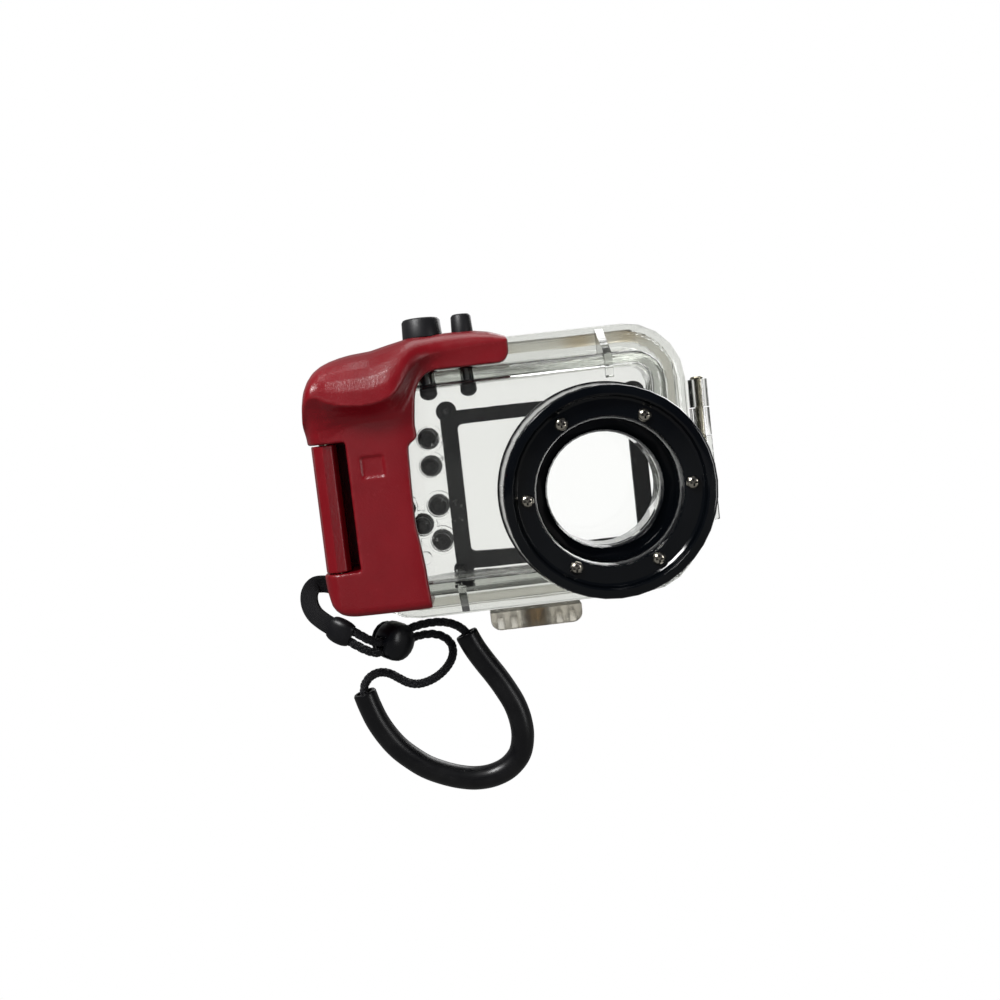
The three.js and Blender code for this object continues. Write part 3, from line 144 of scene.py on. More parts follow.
# Small forms, in millimetres
SPRING_WIRE = 0.17
SPRING_TURNS = 4.5
EAR_RADIUS = 3.1
TIP_BITE = 2.7
SHUTTER_STEM = 2.25
POWER_STEM = 1.8
PORT_GASKET_WIDTH = 4.2
GASKET_CORNER = 13.7
GASKET_WIDTH = 2.4
RIB = (-55.3, -51.5, -14.5, -10.5)
RIB_SETBACK = 0.5
RIB_CORNER = 0.5
RIB_BREAK = 0.4
SLOT_COLUMNS = (-56.8, -54.6, -46.8)
SLOT_ROWS = (22.6, 24.35, 59.75, 61.5)
SLOT_DEPTH = (-10.2, -9.4)
AXIS_HOLE = 0.02

# Edge rounding of rigid nodes, in millimetres
EDGES = {
    "port_bezel": 0.12, "port_collar": 0.15, "shutter_button": 0.3, "power_button": 0.25,
    "hinge_pin": 0.1, "lcd_frame": 0.15, "tripod_foot": 0.3, "tripod_insert": 0.12,
    "cord_lock_plunger": 0.2,
}
EDGE_SEGMENTS = 2
WELD_DISTANCE = 0.002
SHARP_ANGLE = 32
BEVEL_ANGLE = 34
FLAT_ANGLE = 0.6

# Looks
CLEAR_ROUGHNESS = 0.03
PALE_WALL = (1.1, 1.1, 1.085)
FRONT_WALL = (0.6, 0.6, 0.6)
FLOOR_SIZE = 12
FLOOR_Z = -0.16


# Paths
def smooth_path(points, steps):
    """Points along a curve through the given ones, evenly spaced, in metres."""
    p = np.array(points, float) * MM
    p = np.vstack([2 * p[0] - p[1], p, 2 * p[-1] - p[-2]])
    fine = []
    steps_between = 24
    for a, b, c, d in zip(p, p[1:], p[2:], p[3:]):
        for t in np.linspace(0, 1, steps_between, endpoint=False):
            fine.append(0.5 * (2 * b + (c - a) * t + (2 * a - 5 * b + 4 * c - d) * t * t
                               + (3 * b - a - 3 * c + d) * t ** 3))
    fine.append(p[-2])
    return even(np.array(fine), steps)


def even(line, steps):
    """The same line with evenly spaced points."""
    run = run_of(line)
    places = np.linspace(0, run[-1], steps + 1)
    return np.stack([np.interp(places, run, line[:, k]) for k in range(3)], 1)


def run_of(line):
    """Length along a line up to each of its points."""
    return np.concatenate([[0], np.cumsum(np.linalg.norm(np.diff(line, axis=0), axis=1))])


def carried_frames(line):
    """Tangent, side and up at each point of a line, turned as little as possible."""
    tangents = np.gradient(line, axis=0)
    tangents /= np.linalg.norm(tangents, axis=1)[:, None]
    side = np.cross(tangents[0], (0, 1, 0))
    if np.linalg.norm(side) < 0.1:
        side = np.cross(tangents[0], (1, 0, 0))
    sides = []
    for t in tangents:
        side = side - t * (side @ t)
        side /= np.linalg.norm(side)
        sides.append(side)
    sides = np.array(sides)
    return tangents, sides, np.cross(tangents, sides)


# Meshes
def piece(name, points, faces, material, body, flat_angle, uvs=None):
    """A new piece of the scene, on a body, from points in metres."""
    mesh = bpy.data.meshes.new(name)
    mesh.from_pydata([tuple(float(x) for x in p) for p in points], [], faces)
    mesh.validate()
    if uvs is not None:
        layer = mesh.uv_layers.new(name="run")
        layer.data.foreach_set("uv", np.array(uvs, np.float32)[[c.vertex_index for c in mesh.loops]].ravel())
    return finish_piece(name, mesh, material, body, flat_angle)


def finish_piece(name, mesh, material, body, flat_angle):
    """Normals outward, smooth shading up to the angle in degrees, material, body and slot."""
    shell = bmesh.new()
    shell.from_mesh(mesh)
    bmesh.ops.recalc_face_normals(shell, faces=shell.faces)
    shell.to_mesh(mesh)
    shell.free()
    mesh.polygons.foreach_set("use_smooth", [True] * len(mesh.polygons))
    mesh.set_sharp_from_angle(angle=math.radians(flat_angle))
    made = bpy.data.objects.new(name, mesh)
    mesh.materials.append(material)
    bpy.context.scene.collection.objects.link(made)
    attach(made, body)
    return made


def loft(rings, closed_run=False):
    """Faces that join rings of equal size, with caps at both ends unless the run closes on itself."""
    count, sides = len(rings), len(rings[0])
    points = [p for ring in rings for p in ring]
    faces = []
    for i in range(count if closed_run else count - 1):
        a, b = i * sides, (i + 1) % count * sides
        faces += [(a + j, a + (j + 1) % sides, b + (j + 1) % sides, b + j) for j in range(sides)]
    if not closed_run:
        faces.append(tuple(reversed(range(sides))))
        faces.append(tuple((count - 1) * sides + j for j in range(sides)))
    return points, faces


def section_loft(line, section):
    """Rings of a section, drawn as (side, up) pairs, along a line."""
    _, sides, ups = carried_frames(line)
    return [[at + side * a + up * b for a, b in section] for at, side, up in zip(line, sides, ups)]


def circle(radius, sides):
    """Corners of a regular polygon, as pairs."""
    angles = [2 * math.pi * j / sides for j in range(sides)]
    return [(radius * math.cos(a), radius * math.sin(a)) for a in angles]


def rounded_corners(left, right, front, back, corner):
    """Centre and first angle of each corner's arc, for a rectangle with round corners."""
    return ((right - corner, back - corner, 0), (left + corner, back - corner, 90),
            (left + corner, front + corner, 180), (right - corner, front + corner, 270))


def turned(profile, centre, axis, sides, ring=False):
    """A profile of (radius, place) pairs in millimetres, turned about an axis along Z or Y."""
    rings = []
    for radius, place in profile:
        loop = circle(radius * MM, sides)
        if axis == "Z":
            rings.append([(centre[0] + a, centre[1] + b, place * MM) for a, b in loop])
        else:
            rings.append([(centre[0] + a, place * MM, centre[1] + b) for a, b in loop])
    return loft(rings, ring)


def uv_run(rings):
    """u along the run and v round the section, both in millimetres."""
    centres = np.array([np.mean(ring, axis=0) for ring in rings])
    along = run_of(centres) / MM
    uvs = []
    for ring, u in zip(rings, along):
        ring = np.array(ring)
        v = run_of(ring) / MM
        uvs += [(u, x) for x in v]
    return uvs


# Materials
def node(tree, kind, **settings):
    made = tree.nodes.new(kind)
    for key, value in settings.items():
        setattr(made, key, value)
    return made


class Room:
    """Procedural nodes in one tree."""

    def __init__(self, tree):
        self.tree = tree
        self.place = node(tree, "ShaderNodeTexCoord")

    def link(self, a, b):
        self.tree.links.new(a, b)

    def coordinates(self, stretch=(1, 1, 1), turn=(0, 0, 0), uv=False, source="Object"):
        mapping = node(self.tree, "ShaderNodeMapping")
        mapping.inputs["Scale"].default_value = stretch
        mapping.inputs["Rotation"].default_value = turn
        if uv:
            run = node(self.tree, "ShaderNodeUVMap", uv_map="run")
            self.link(run.outputs["UV"], mapping.inputs["Vector"])
        else:
            self.link(self.place.outputs[source], mapping.inputs["Vector"])
        return mapping.outputs["Vector"]

    def noise(self, scale, detail=3.0, rough=0.55, stretch=(1, 1, 1), turn=(0, 0, 0), uv=False,
              source="Object"):
        made = node(self.tree, "ShaderNodeTexNoise")
        made.inputs["Scale"].default_value = scale
        made.inputs["Detail"].default_value = detail
        made.inputs["Roughness"].default_value = rough
        self.link(self.coordinates(stretch, turn, uv, source), made.inputs["Vector"])
        return made.outputs["Fac"]

    def cells(self, scale):
        made = node(self.tree, "ShaderNodeTexVoronoi", feature="F1")
        made.inputs["Scale"].default_value = scale
        self.link(self.coordinates(), made.inputs["Vector"])
        return made.outputs["Distance"]

    def wave(self, scale, direction="X", uv=False, distortion=0.0):
        made = node(self.tree, "ShaderNodeTexWave", bands_direction=direction)
        made.inputs["Scale"].default_value = scale
        made.inputs["Distortion"].default_value = distortion
        self.link(self.coordinates(uv=uv), made.inputs["Vector"])
        return made.outputs["Fac"]

    def band(self, value, low, high, to_low=0.0, to_high=1.0, smooth=False):
        """Maps low to to_low and high to to_high, and holds both outside them."""
        made = node(self.tree, "ShaderNodeMapRange", clamp=True)
        if smooth:
            made.interpolation_type = "SMOOTHSTEP"
        for key, x in (("From Min", low), ("From Max", high), ("To Min", to_low), ("To Max", to_high)):
            made.inputs[key].default_value = x
        self.link(value, made.inputs["Value"])
        return made.outputs["Result"]

    def sum(self, a, b, operation="ADD"):
        """Two values added, or joined by another operation."""
        made = node(self.tree, "ShaderNodeMath", operation=operation)
        self.feed(a, made.inputs[0])
        self.feed(b, made.inputs[1])
        return made.outputs[0]

    def feed(self, value, socket):
        if isinstance(value, (int, float)):
            socket.default_value = value
        elif isinstance(value, tuple):
            socket.default_value = (*value, 1)
        else:
            self.link(value, socket)

    def mix(self, share, a, b):
        """Colour a where share is 0 and b where it is 1."""
        made = node(self.tree, "ShaderNodeMix", data_type="RGBA")
        self.feed(share, made.inputs[0])
        self.feed(a, made.inputs[6])
        self.feed(b, made.inputs[7])
        return made.outputs[2]


class Mat(Room):
    """A Principled material whose colour, roughness and bump come from procedural nodes."""

    def __init__(self, name, colour, rough, **sockets):
        self.material = bpy.data.materials.new(name)
        self.material.use_nodes = True
        super().__init__(self.material.node_tree)
        self.shader = self.tree.nodes["Principled BSDF"]
        self.shader.inputs["Base Color"].default_value = (*colour, 1)
        self.shader.inputs["Roughness"].default_value = rough
        for key, value in sockets.items():
            self.shader.inputs[key.replace("_", " ")].default_value = value
        self.height = None

    def colour(self, value):
        self.link(value, self.shader.inputs["Base Color"])
        return self

    def roughness(self, value):
        self.link(value, self.shader.inputs["Roughness"])
        return self

    def bump(self, value, distance_mm, strength=1.0):
        made = node(self.tree, "ShaderNodeBump")
        made.inputs["Distance"].default_value = distance_mm * MM
        made.inputs["Strength"].default_value = strength
        self.link(value, made.inputs["Height"])
        if self.height is not None:
            self.link(self.height, made.inputs["Normal"])
        self.height = made.outputs["Normal"]
        self.link(self.height, self.shader.inputs["Normal"])
        return self

    def attribute(self, name):
        made = node(self.tree, "ShaderNodeAttribute", attribute_name=name)
        return made.outputs["Fac"]

    def absorb(self, colour, density):
        made = node(self.tree, "ShaderNodeVolumeAbsorption")
        made.inputs["Color"].default_value = (*colour, 1)
        made.inputs["Density"].default_value = density
        self.link(made.outputs["Volume"], self.tree.nodes["Material Output"].inputs["Volume"])
        return self

    def scratches(self, scale):
        """0 on plain surface, 1 on fine scratches in three directions."""
        total = None
        for k, turn in enumerate(((0.3, 0.2, 0.4), (1.1, 0.7, 2.0), (2.1, 1.3, 0.9))):
            lines = self.noise(scale * (1 + 0.3 * k), 2, 0.5, (1, 0.035, 1), turn)
            thin = self.band(lines, 0.66, 0.72)
            total = thin if total is None else self.sum(total, thin, "MAXIMUM")
        patches = self.band(self.noise(60 + scale * 0.02, 2), 0.5, 0.62)
        return self.sum(total, patches, "MULTIPLY")


def srgb(r, g, b):
    """Linear colour of a screen colour in 0 to 255."""
    return tuple((x / 255 / 12.92 if x <= 10 else ((x / 255 + 0.055) / 1.055) ** 2.4) for x in (r, g, b))


def rim_lines(m):
    """Height of fine lines along the rims: along X at top and bottom, along Z at both sides."""
    place = node(m.tree, "ShaderNodeSeparateXYZ")
    m.link(m.place.outputs["Generated"], place.inputs[0])
    total = None
    for axis, stretch in (("Z", (0.02, 1, 1)), ("X", (1, 1, 0.02))):
        edge = m.sum(m.sum(place.outputs[axis], 0.5, "SUBTRACT"), 0.0, "ABSOLUTE")
        strip = m.band(edge, 0.31, 0.35)
        lines = m.sum(m.noise(900, 1, 0.5, stretch), m.sum(m.noise(2200, 1, 0.5, stretch), 0.4, "MULTIPLY"))
        part = m.sum(lines, strip, "MULTIPLY")
        total = part if total is None else m.sum(total, part)
    return total


def clear_plastic(name, tint, density):
    m = Mat(name, (0.97, 0.972, 0.965), CLEAR_ROUGHNESS, Transmission_Weight=1.0, IOR=1.53)
    m.bump(rim_lines(m), 0.1, 1.0)
    marks = m.scratches(420)
    haze = m.band(m.noise(38, 3), 0.35, 0.75, CLEAR_ROUGHNESS, CLEAR_ROUGHNESS + 0.04)
    m.roughness(m.sum(haze, m.sum(marks, 0.22, "MULTIPLY")))
    m.bump(m.noise(75, 2), 0.05, 0.5)
    m.bump(m.noise(260, 2), 0.008, 0.5)
    m.bump(marks, 0.01, 0.3)
    m.absorb(tint, density)
    return m.material


def red_plastic():
    m = Mat("red_plastic", srgb(114, 3, 16), 0.34, IOR=1.47)
    cloud = m.noise(55, 4, 0.6)
    base = m.mix(m.band(cloud, 0.3, 0.7), srgb(107, 3, 14), srgb(121, 5, 19))
    edge = m.sum(m.attribute("wear"), m.band(m.noise(300, 3), 0.42, 0.7), "MULTIPLY")
    scuffs = m.sum(m.scratches(700), 0.3, "MULTIPLY")
    m.colour(m.mix(m.sum(m.sum(edge, 0.4, "MULTIPLY"), scuffs, "MAXIMUM"), base, srgb(138, 44, 48)))
    m.roughness(m.band(m.noise(90, 4), 0.3, 0.7, 0.28, 0.35))
    m.bump(m.noise(1700, 2, 0.7), 0.07, 1.0)
    m.bump(m.noise(60, 2), 0.05, 0.3)
    return m.material


def black(name, colour, low, high, grain_scale, grain_mm, specular=0.4):
    m = Mat(name, colour, (low + high) / 2, Specular_IOR_Level=specular)
    dust = m.band(m.cells(900), 0.0, 0.06, 1.0, 0.0)
    spots = m.sum(dust, m.band(m.noise(200, 2), 0.6, 0.68), "MULTIPLY")
    grey = tuple(x * 1.9 + 0.004 for x in colour)
    m.colour(m.mix(m.sum(spots, m.band(m.noise(70, 3), 0.45, 0.8, 0, 0.35), "MAXIMUM"), colour, grey))
    m.roughness(m.band(m.noise(120, 4), 0.3, 0.7, low, high))
    m.bump(m.noise(grain_scale, 3, 0.6), grain_mm, 0.5)
    m.bump(m.scratches(600), 0.008, 0.4)
    return m.material


def metal(name, colour, low, high, stretch=(1, 1, 1), recess_shade_mm=0.0):
    m = Mat(name, colour, (low + high) / 2, Metallic=1.0)
    brushed = m.noise(900, 3, 0.6, stretch)
    dark = tuple(x * 0.72 for x in colour)
    shade = m.mix(m.band(m.noise(240, 3), 0.4, 0.75), colour, dark)
    # Painted shade: when a distance is given, ambient occlusion turns the colour almost black in recesses
    # and where parts meet
    if recess_shade_mm:
        painted_recess_shade = node(m.tree, "ShaderNodeAmbientOcclusion", samples=8)
        painted_recess_shade.inputs["Distance"].default_value = recess_shade_mm * MM
        shade = m.mix(m.band(painted_recess_shade.outputs["AO"], 0.45, 0.85), tuple(x * 0.03 for x in colour), shade)
    m.colour(shade)
    m.roughness(m.band(brushed, 0.3, 0.7, low, high))
    m.bump(brushed, 0.01, 0.3)
    return m.material


def gasket_rubber():
    m = Mat("gasket", srgb(200, 196, 180), 0.35, Transmission_Weight=0.9, IOR=1.41)
    m.colour(m.mix(m.band(m.noise(30, 3), 0.54, 0.7), srgb(232, 230, 222), srgb(186, 160, 112)))
    m.roughness(m.band(m.noise(400, 3), 0.3, 0.7, 0.28, 0.44))
    m.bump(m.noise(700, 3), 0.03, 0.4)
    return m.material


def frosted_plastic():
    m = Mat("frosted_foot", srgb(226, 224, 216), 0.14, Transmission_Weight=0.93, IOR=1.49)
    m.colour(m.mix(m.band(m.noise(60, 2), 0.35, 0.7), srgb(232, 230, 223), srgb(214, 209, 196)))
    m.roughness(m.band(m.noise(200, 3), 0.3, 0.7, 0.3, 0.42))
    m.bump(m.noise(900, 2), 0.01, 0.4)
    m.absorb((0.6, 0.58, 0.52), 60)
    return m.material


def ringed_collar():
    """Clear plastic that the lathe has left with fine rings, as a bump, with painted light and dark bands
    along them that stand for their reflections, so it reads as light grey.
    """
    m = Mat("clear_collar", (0.86, 0.87, 0.86), 0.2, Transmission_Weight=0.6, IOR=1.49)
    rings = m.wave(330, direction="Y")
    # Painted reflections: light and dark bands in the colour along the rings
    m.colour(m.mix(m.band(rings, 0.25, 0.6), srgb(60, 62, 62), srgb(240, 240, 236)))
    m.roughness(m.band(m.noise(150, 3), 0.3, 0.7, 0.14, 0.3))
    m.bump(rings, 0.12, 0.8)
    return m.material


def lens_glass():
    m = Mat("lens_glass", (0.99, 0.995, 1.0), 0.01, Transmission_Weight=1.0, IOR=1.3)
    dust = m.sum(m.band(m.cells(1400), 0.0, 0.035, 1.0, 0.0), m.band(m.noise(240, 2), 0.6, 0.66), "MULTIPLY")
    m.roughness(m.band(m.sum(dust, m.scratches(500), "MAXIMUM"), 0, 1, 0.01, 0.25))
    m.bump(m.noise(30, 2), 0.005, 0.2)
    return m.material


def webbing():
    m = Mat("webbing", srgb(10, 10, 12), 0.78, Sheen_Weight=0.06, Sheen_Roughness=0.5,
            Specular_IOR_Level=0.15)
    ribs = m.wave(1.15, uv=True, direction="X")
    picks = m.wave(0.62, uv=True, direction="Y")
    weave = m.sum(ribs, picks, "MULTIPLY")
    fuzz = m.noise(1.6, 4, 0.7, uv=True)
    m.colour(m.mix(m.sum(weave, fuzz, "MULTIPLY"), srgb(5, 5, 7), srgb(30, 30, 34)))
    m.roughness(m.band(fuzz, 0.3, 0.7, 0.6, 0.82))
    m.bump(m.sum(weave, m.sum(fuzz, 0.35, "MULTIPLY")), 0.12, 0.9)
    return m.material


def braided():
    m = Mat("braided_cord", srgb(10, 10, 12), 0.55, Sheen_Weight=0.06, Sheen_Roughness=0.45,
            Specular_IOR_Level=0.3)
    fibres = m.wave(5.5, uv=True, direction="Y", distortion=0.6)
    fuzz = m.noise(900, 3, 0.7)
    m.colour(m.mix(m.sum(fibres, fuzz, "MULTIPLY"), srgb(5, 5, 7), srgb(38, 38, 44)))
    m.roughness(m.band(fuzz, 0.3, 0.7, 0.42, 0.66))
    m.bump(fibres, 0.05, 0.7)
    return m.material


def tube_vinyl():
    m = Mat("tube_rubber", srgb(6, 6, 8), 0.26, Specular_IOR_Level=0.42)
    draw = m.noise(0.5, 2, 0.5, (0.05, 1.6, 1), uv=True)
    m.colour(m.mix(m.band(m.noise(120, 4), 0.45, 0.75), srgb(5, 5, 7), srgb(18, 18, 19)))
    m.roughness(m.band(m.noise(60, 3), 0.3, 0.7, 0.28, 0.4))
    m.bump(draw, 0.01, 0.2)
    return m.material


MATERIALS = {
    "clear_shell": clear_plastic("clear_shell", (0.55, 0.57, 0.53), 90),
    "clear_door": clear_plastic("clear_door", (0.55, 0.56, 0.5), 12),
    "clear_collar": ringed_collar(),
    "frosted_foot": frosted_plastic(),
    "gasket": gasket_rubber(),
    "gloss_black": black("gloss_black", srgb(3, 5, 8), 0.06, 0.14, 500, 0.006, 0.38),
    "satin_black": black("satin_black", srgb(22, 23, 25), 0.4, 0.6, 260, 0.04, 0.25),
    "button_black": black("button_black", srgb(20, 20, 22), 0.38, 0.5, 1800, 0.04),
    "lock_black": black("lock_black", srgb(7, 8, 12), 0.22, 0.34, 500, 0.01),
    "black_rubber": black("black_rubber", srgb(12, 12, 14), 0.28, 0.42, 1300, 0.03, 0.3),
    "tube_rubber": tube_vinyl(),
    "red_plastic": red_plastic(),
    "steel": metal("steel", srgb(166, 160, 140), 0.2, 0.34, (1, 1, 0.05)),
    # The screws' steel has painted shade in its cross recesses and round its heads
    "screw_steel": metal("screw_steel", srgb(214, 208, 194), 0.16, 0.28, recess_shade_mm=0.6),
    "brass": metal("brass", srgb(196, 158, 88), 0.26, 0.42),
    "lens_glass": lens_glass(),
    "webbing": webbing(),
    "braided_cord": braided(),
}
SLOTS = {part["node"]: part["material_slot"] for part in frame["record"]["subparts"]}


# CAD nodes: welded, shaded smooth but for their edges, and given a narrow rounded edge
def weld_group():
    group = bpy.data.node_groups.new("weld_and_shade", "GeometryNodeTree")
    group.interface.new_socket("Geometry", in_out="INPUT", socket_type="NodeSocketGeometry")
    group.interface.new_socket("Geometry", in_out="OUTPUT", socket_type="NodeSocketGeometry")
    source, result = node(group, "NodeGroupInput"), node(group, "NodeGroupOutput")
    merge = node(group, "GeometryNodeMergeByDistance")
    merge.inputs["Distance"].default_value = WELD_DISTANCE * MM
    edges = node(group, "GeometryNodeInputMeshEdgeAngle")
    sharp = node(group, "FunctionNodeCompare", data_type="FLOAT", operation="GREATER_THAN")
    sharp.inputs["B"].default_value = math.radians(SHARP_ANGLE)
    shade = node(group, "GeometryNodeSetMeshNormal", mode="SHARPNESS")
    shade.inputs["Remove Custom"].default_value = True
    links = group.links
    links.new(source.outputs["Geometry"], merge.inputs["Geometry"])
    links.new(merge.outputs["Geometry"], shade.inputs["Mesh"])
    links.new(edges.outputs["Unsigned Angle"], sharp.inputs["A"])
    links.new(sharp.outputs["Result"], shade.inputs["Edge Sharpness"])
    links.new(shade.outputs["Mesh"], result.inputs["Geometry"])
    return group


WELD = weld_group()


def dress(name, edge_mm):
    """Material, welding, shading and edge rounding of a rigid CAD node."""
    made = NODES[name]
    for k in range(len(made.material_slots)):
        made.material_slots[k].material = MATERIALS[SLOTS[name]]
    made.modifiers.new("weld_and_shade", "NODES").node_group = WELD
    if edge_mm:
        plane = made.modifiers.new("planes", "DECIMATE")
        plane.decimate_type = "DISSOLVE"
        plane.angle_limit = math.radians(FLAT_ANGLE)
        bevel = made.modifiers.new("edges", "BEVEL")
        bevel.width = edge_mm * MM
        bevel.segments = EDGE_SEGMENTS
        bevel.limit_method = "ANGLE"
        bevel.angle_limit = math.radians(BEVEL_ANGLE)
        bevel.harden_normals = True
        bevel.use_clamp_overlap = True


# Soft-edged moulded pieces: the CAD solid remeshed finely, with its edges rounded
def mould(name, source, voxel_mm, rounds):
    made = NODES[source]
    copy = bpy.data.objects.new("moulding", made.data.copy())
    bpy.context.scene.collection.objects.link(copy)
    copy.modifiers.new("weld", "NODES").node_group = WELD
    remesh = copy.modifiers.new("remesh", "REMESH")
    remesh.mode = "VOXEL"
    remesh.voxel_size = voxel_mm * MM
    smooth = copy.modifiers.new("smooth", "SMOOTH")
    smooth.factor = 0.5
    smooth.iterations = rounds
    bpy.context.view_layer.update()
    mesh = bpy.data.meshes.new_from_object(copy.evaluated_get(bpy.context.evaluated_depsgraph_get()))
    bpy.data.objects.remove(copy)
    mesh.name = name
    mesh.materials.clear()
    mark_wear(mesh, voxel_mm)
    slot = SLOTS[source]
    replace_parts(finish_piece(name, mesh, MATERIALS[slot], made["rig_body"], 180), source)


def mark_wear(mesh, voxel_mm):
    """Writes how convex the surface is at each point, for the worn edges."""
    count = len(mesh.vertices)
    co = np.empty(count * 3, np.float64)
    mesh.vertices.foreach_get("co", co)
    co = co.reshape(-1, 3)
    no = np.empty(count * 3, np.float64)
    mesh.vertices.foreach_get("normal", no)
    no = no.reshape(-1, 3)
    ends = np.empty(len(mesh.edges) * 2, np.int64)
    mesh.edges.foreach_get("vertices", ends)
    ends = ends.reshape(-1, 2)
    degree = np.bincount(ends.ravel(), minlength=count).clip(1)[:, None]

    def spread(values):
        total = np.zeros_like(values)
        np.add.at(total, ends[:, 0], values[ends[:, 1]])
        np.add.at(total, ends[:, 1], values[ends[:, 0]])
        return total / degree

    wide = co
    for _ in range(4):
        wide = spread(wide)
    convex = ((co - wide) * no).sum(1)[:, None]
    for _ in range(3):
        convex = 0.5 * convex + 0.5 * spread(convex)
    wear = np.clip(convex[:, 0] / (0.16 * voxel_mm * MM), 0, 1) ** 1.5
    mesh.attributes.new("wear", "FLOAT", "POINT").data.foreach_set("value", wear.astype(np.float32))


mould("grip_cover_moulded", "grip_cover", voxel_mm=0.34, rounds=14)
mould("latch_moulded", "latch", voxel_mm=0.26, rounds=3)


# Lanyard
def rounded_rectangle(width, thickness, sides=5):
    """A flat band's section, with rounded long edges."""
    r, half = thickness / 2, width / 2 - thickness / 2
    pairs = []
    for k in range(sides + 1):
        a = -math.pi / 2 + math.pi * k / sides
        pairs.append((half + r * math.cos(a), r * math.sin(a)))
    for k in range(sides + 1):
        a = math.pi / 2 + math.pi * k / sides
        pairs.append((-half + r * math.cos(a), r * math.sin(a)))
    return pairs


def band_rings(line, width, thickness, lift=0.0):
    """A band whose width lies in the XZ plane, lifted off its line towards the outside."""
    tangents, _, _ = carried_frames(line)
    rings = []
    for at, t in zip(line, tangents):
        across = np.array((-t[2], 0, t[0]))
        across /= np.linalg.norm(across)
        out = np.cross(t, across)
        rings.append([at + across * a + out * (b + lift) for a, b in rounded_rectangle(width, thickness)])
    return rings


def join_pieces(name, parts, slot, flat_angle):
    """One piece on the housing's body from several lofts; a loft in a tuple closes on itself."""
    points, faces, uvs = [], [], []
    for rings in parts:
        closed = isinstance(rings, tuple)
        p, f = loft(rings[0] if closed else rings, closed)
        faces += [tuple(i + len(points) for i in face) for face in f]
        points += p
        uvs += uv_run(rings[0] if closed else rings)
    return piece(name, points, faces, MATERIALS[slot], "housing", flat_angle, uvs)


def braid(name, route, steps):
    """A braided cord: two sets of strands wound both ways round a core, each over and under the other."""
    line = smooth_path(route, steps)
    run = run_of(line) / MM
    _, sides, ups = carried_frames(line)
    ride = CORD_RADIUS - BRAID_COVER
    parts = [section_loft(line, circle((ride - 0.05) * MM, 10))]
    for hand in (1, -1):
        for k in range(BRAID_CARRIERS):
            wound = 2 * math.pi * run / BRAID_PITCH
            turn = 2 * math.pi * k / BRAID_CARRIERS + hand * wound
            weave = np.cos(BRAID_CARRIERS * wound + (0 if hand > 0 else math.pi) + k * math.pi)
            reach = (ride + 0.06 + 0.13 * weave) * MM
            centre = line + sides * (reach * np.cos(turn))[:, None] + ups * (reach * np.sin(turn))[:, None]
            flat = []
            for i in range(len(line)):
                radial = sides[i] * math.cos(turn[i]) + ups[i] * math.sin(turn[i])
                tangent = centre[min(i + 1, steps)] - centre[max(i - 1, 0)]
                tangent /= np.linalg.norm(tangent)
                across = np.cross(tangent, radial)
                across /= np.linalg.norm(across)
                wide, thick = across * (1.25 * BRAID_STRAND * MM), radial * (0.8 * BRAID_STRAND * MM)
                flat.append([centre[i] + a * wide + b * thick for a, b in circle(1, 6)])
            parts.append(flat)
    return join_pieces(name, parts, "braided_cord", 80), line


def make_cord(name, cad_node, route, steps):
    """A braided cord in place of its CAD node."""
    made, line = braid(name, route, steps)
    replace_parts(made, cad_node)


def make_strap():
    """Two layers of webbing, the loop round the lug and the sleeve."""
    line = smooth_path([STRAP_START] + STRAP, 64)
    lift = STRAP_LAYER_GAP * STRAP_THICKNESS * MM
    layers = [band_rings(line, STRAP_WIDTH * MM, STRAP_THICKNESS * MM, side * lift) for side in (1, -1)]
    made = join_pieces("strap_webbing", layers, "webbing", 60)
    loop = strap_loop()
    sleeve = strap_sleeve()
    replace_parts(made, "lanyard_strap")


def strap_loop():
    """The band's turn round the lug's bar."""
    rings = []
    middle = LOOP_BOTTOM + STRAP_WIDTH / 2
    section = rounded_rectangle(STRAP_WIDTH, STRAP_THICKNESS)
    for cx, cy, start in rounded_corners(*LOOP_X, *LOOP_Y, LOOP_CORNER):
        for k in range(6):
            a = math.radians(start + 18 * k)
            reach = LOOP_CORNER + STRAP_THICKNESS / 2
            rings.append([np.array((cx + math.cos(a) * (reach + out), cy + math.sin(a) * (reach + out),
                                    middle + up)) * MM for up, out in section])
    return join_pieces("strap_loop", [(rings,)], "webbing", 60)


def strap_sleeve():
    """The moulded sleeve in which the band ends and the two cords begin."""
    line = smooth_path(STRAP[-3:], 24)
    tangents, _, _ = carried_frames(line)
    rings = []
    for i, (at, t) in enumerate(zip(line, tangents)):
        share = i / (len(line) - 1)
        swell = min(1.0, 0.72 + 0.28 * math.sin(math.pi * min(max(share, 0.02), 0.98)) ** 0.35)
        across = np.array((-t[2], 0, t[0]))
        across /= np.linalg.norm(across)
        out = np.cross(t, across)
        rings.append([at + across * (a * swell) + out * (b * swell)
                      for a, b in rounded_rectangle(SLEEVE_WIDTH * MM, SLEEVE_THICKNESS * MM, 8)])
    return join_pieces("strap_sleeve", [rings], "black_rubber", 50)


def make_tube():
    """The wrist tube, with a rolled lip and a short bore at both mouths."""
    line = smooth_path(TUBE, 220)
    outer = section_loft(line, circle(TUBE_RADIUS * MM, 32))
    bore = section_loft(line, circle((TUBE_RADIUS - TUBE_WALL) * MM, 32))
    lips = [[p + (q - p) * 0.75 for p, q in zip(bore[end], outer[end])] for end in (0, -1)]
    rings = [bore[TUBE_MOUTH_STEPS], bore[0], lips[0]] + outer[1:-1]
    rings += [lips[1], bore[-1], bore[-1 - TUBE_MOUTH_STEPS]]
    points, faces = loft(rings)
    made = piece("wrist_tube_vinyl", points, faces, MATERIALS["tube_rubber"], "housing", 50,
                 uv_run(rings))
    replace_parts(made, "wrist_tube")


make_cord("cord_near_braid", "lanyard_cord_near", NEAR, 260)
make_cord("cord_far_braid", "lanyard_cord_far", FAR, 460)
make_strap()
make_tube()


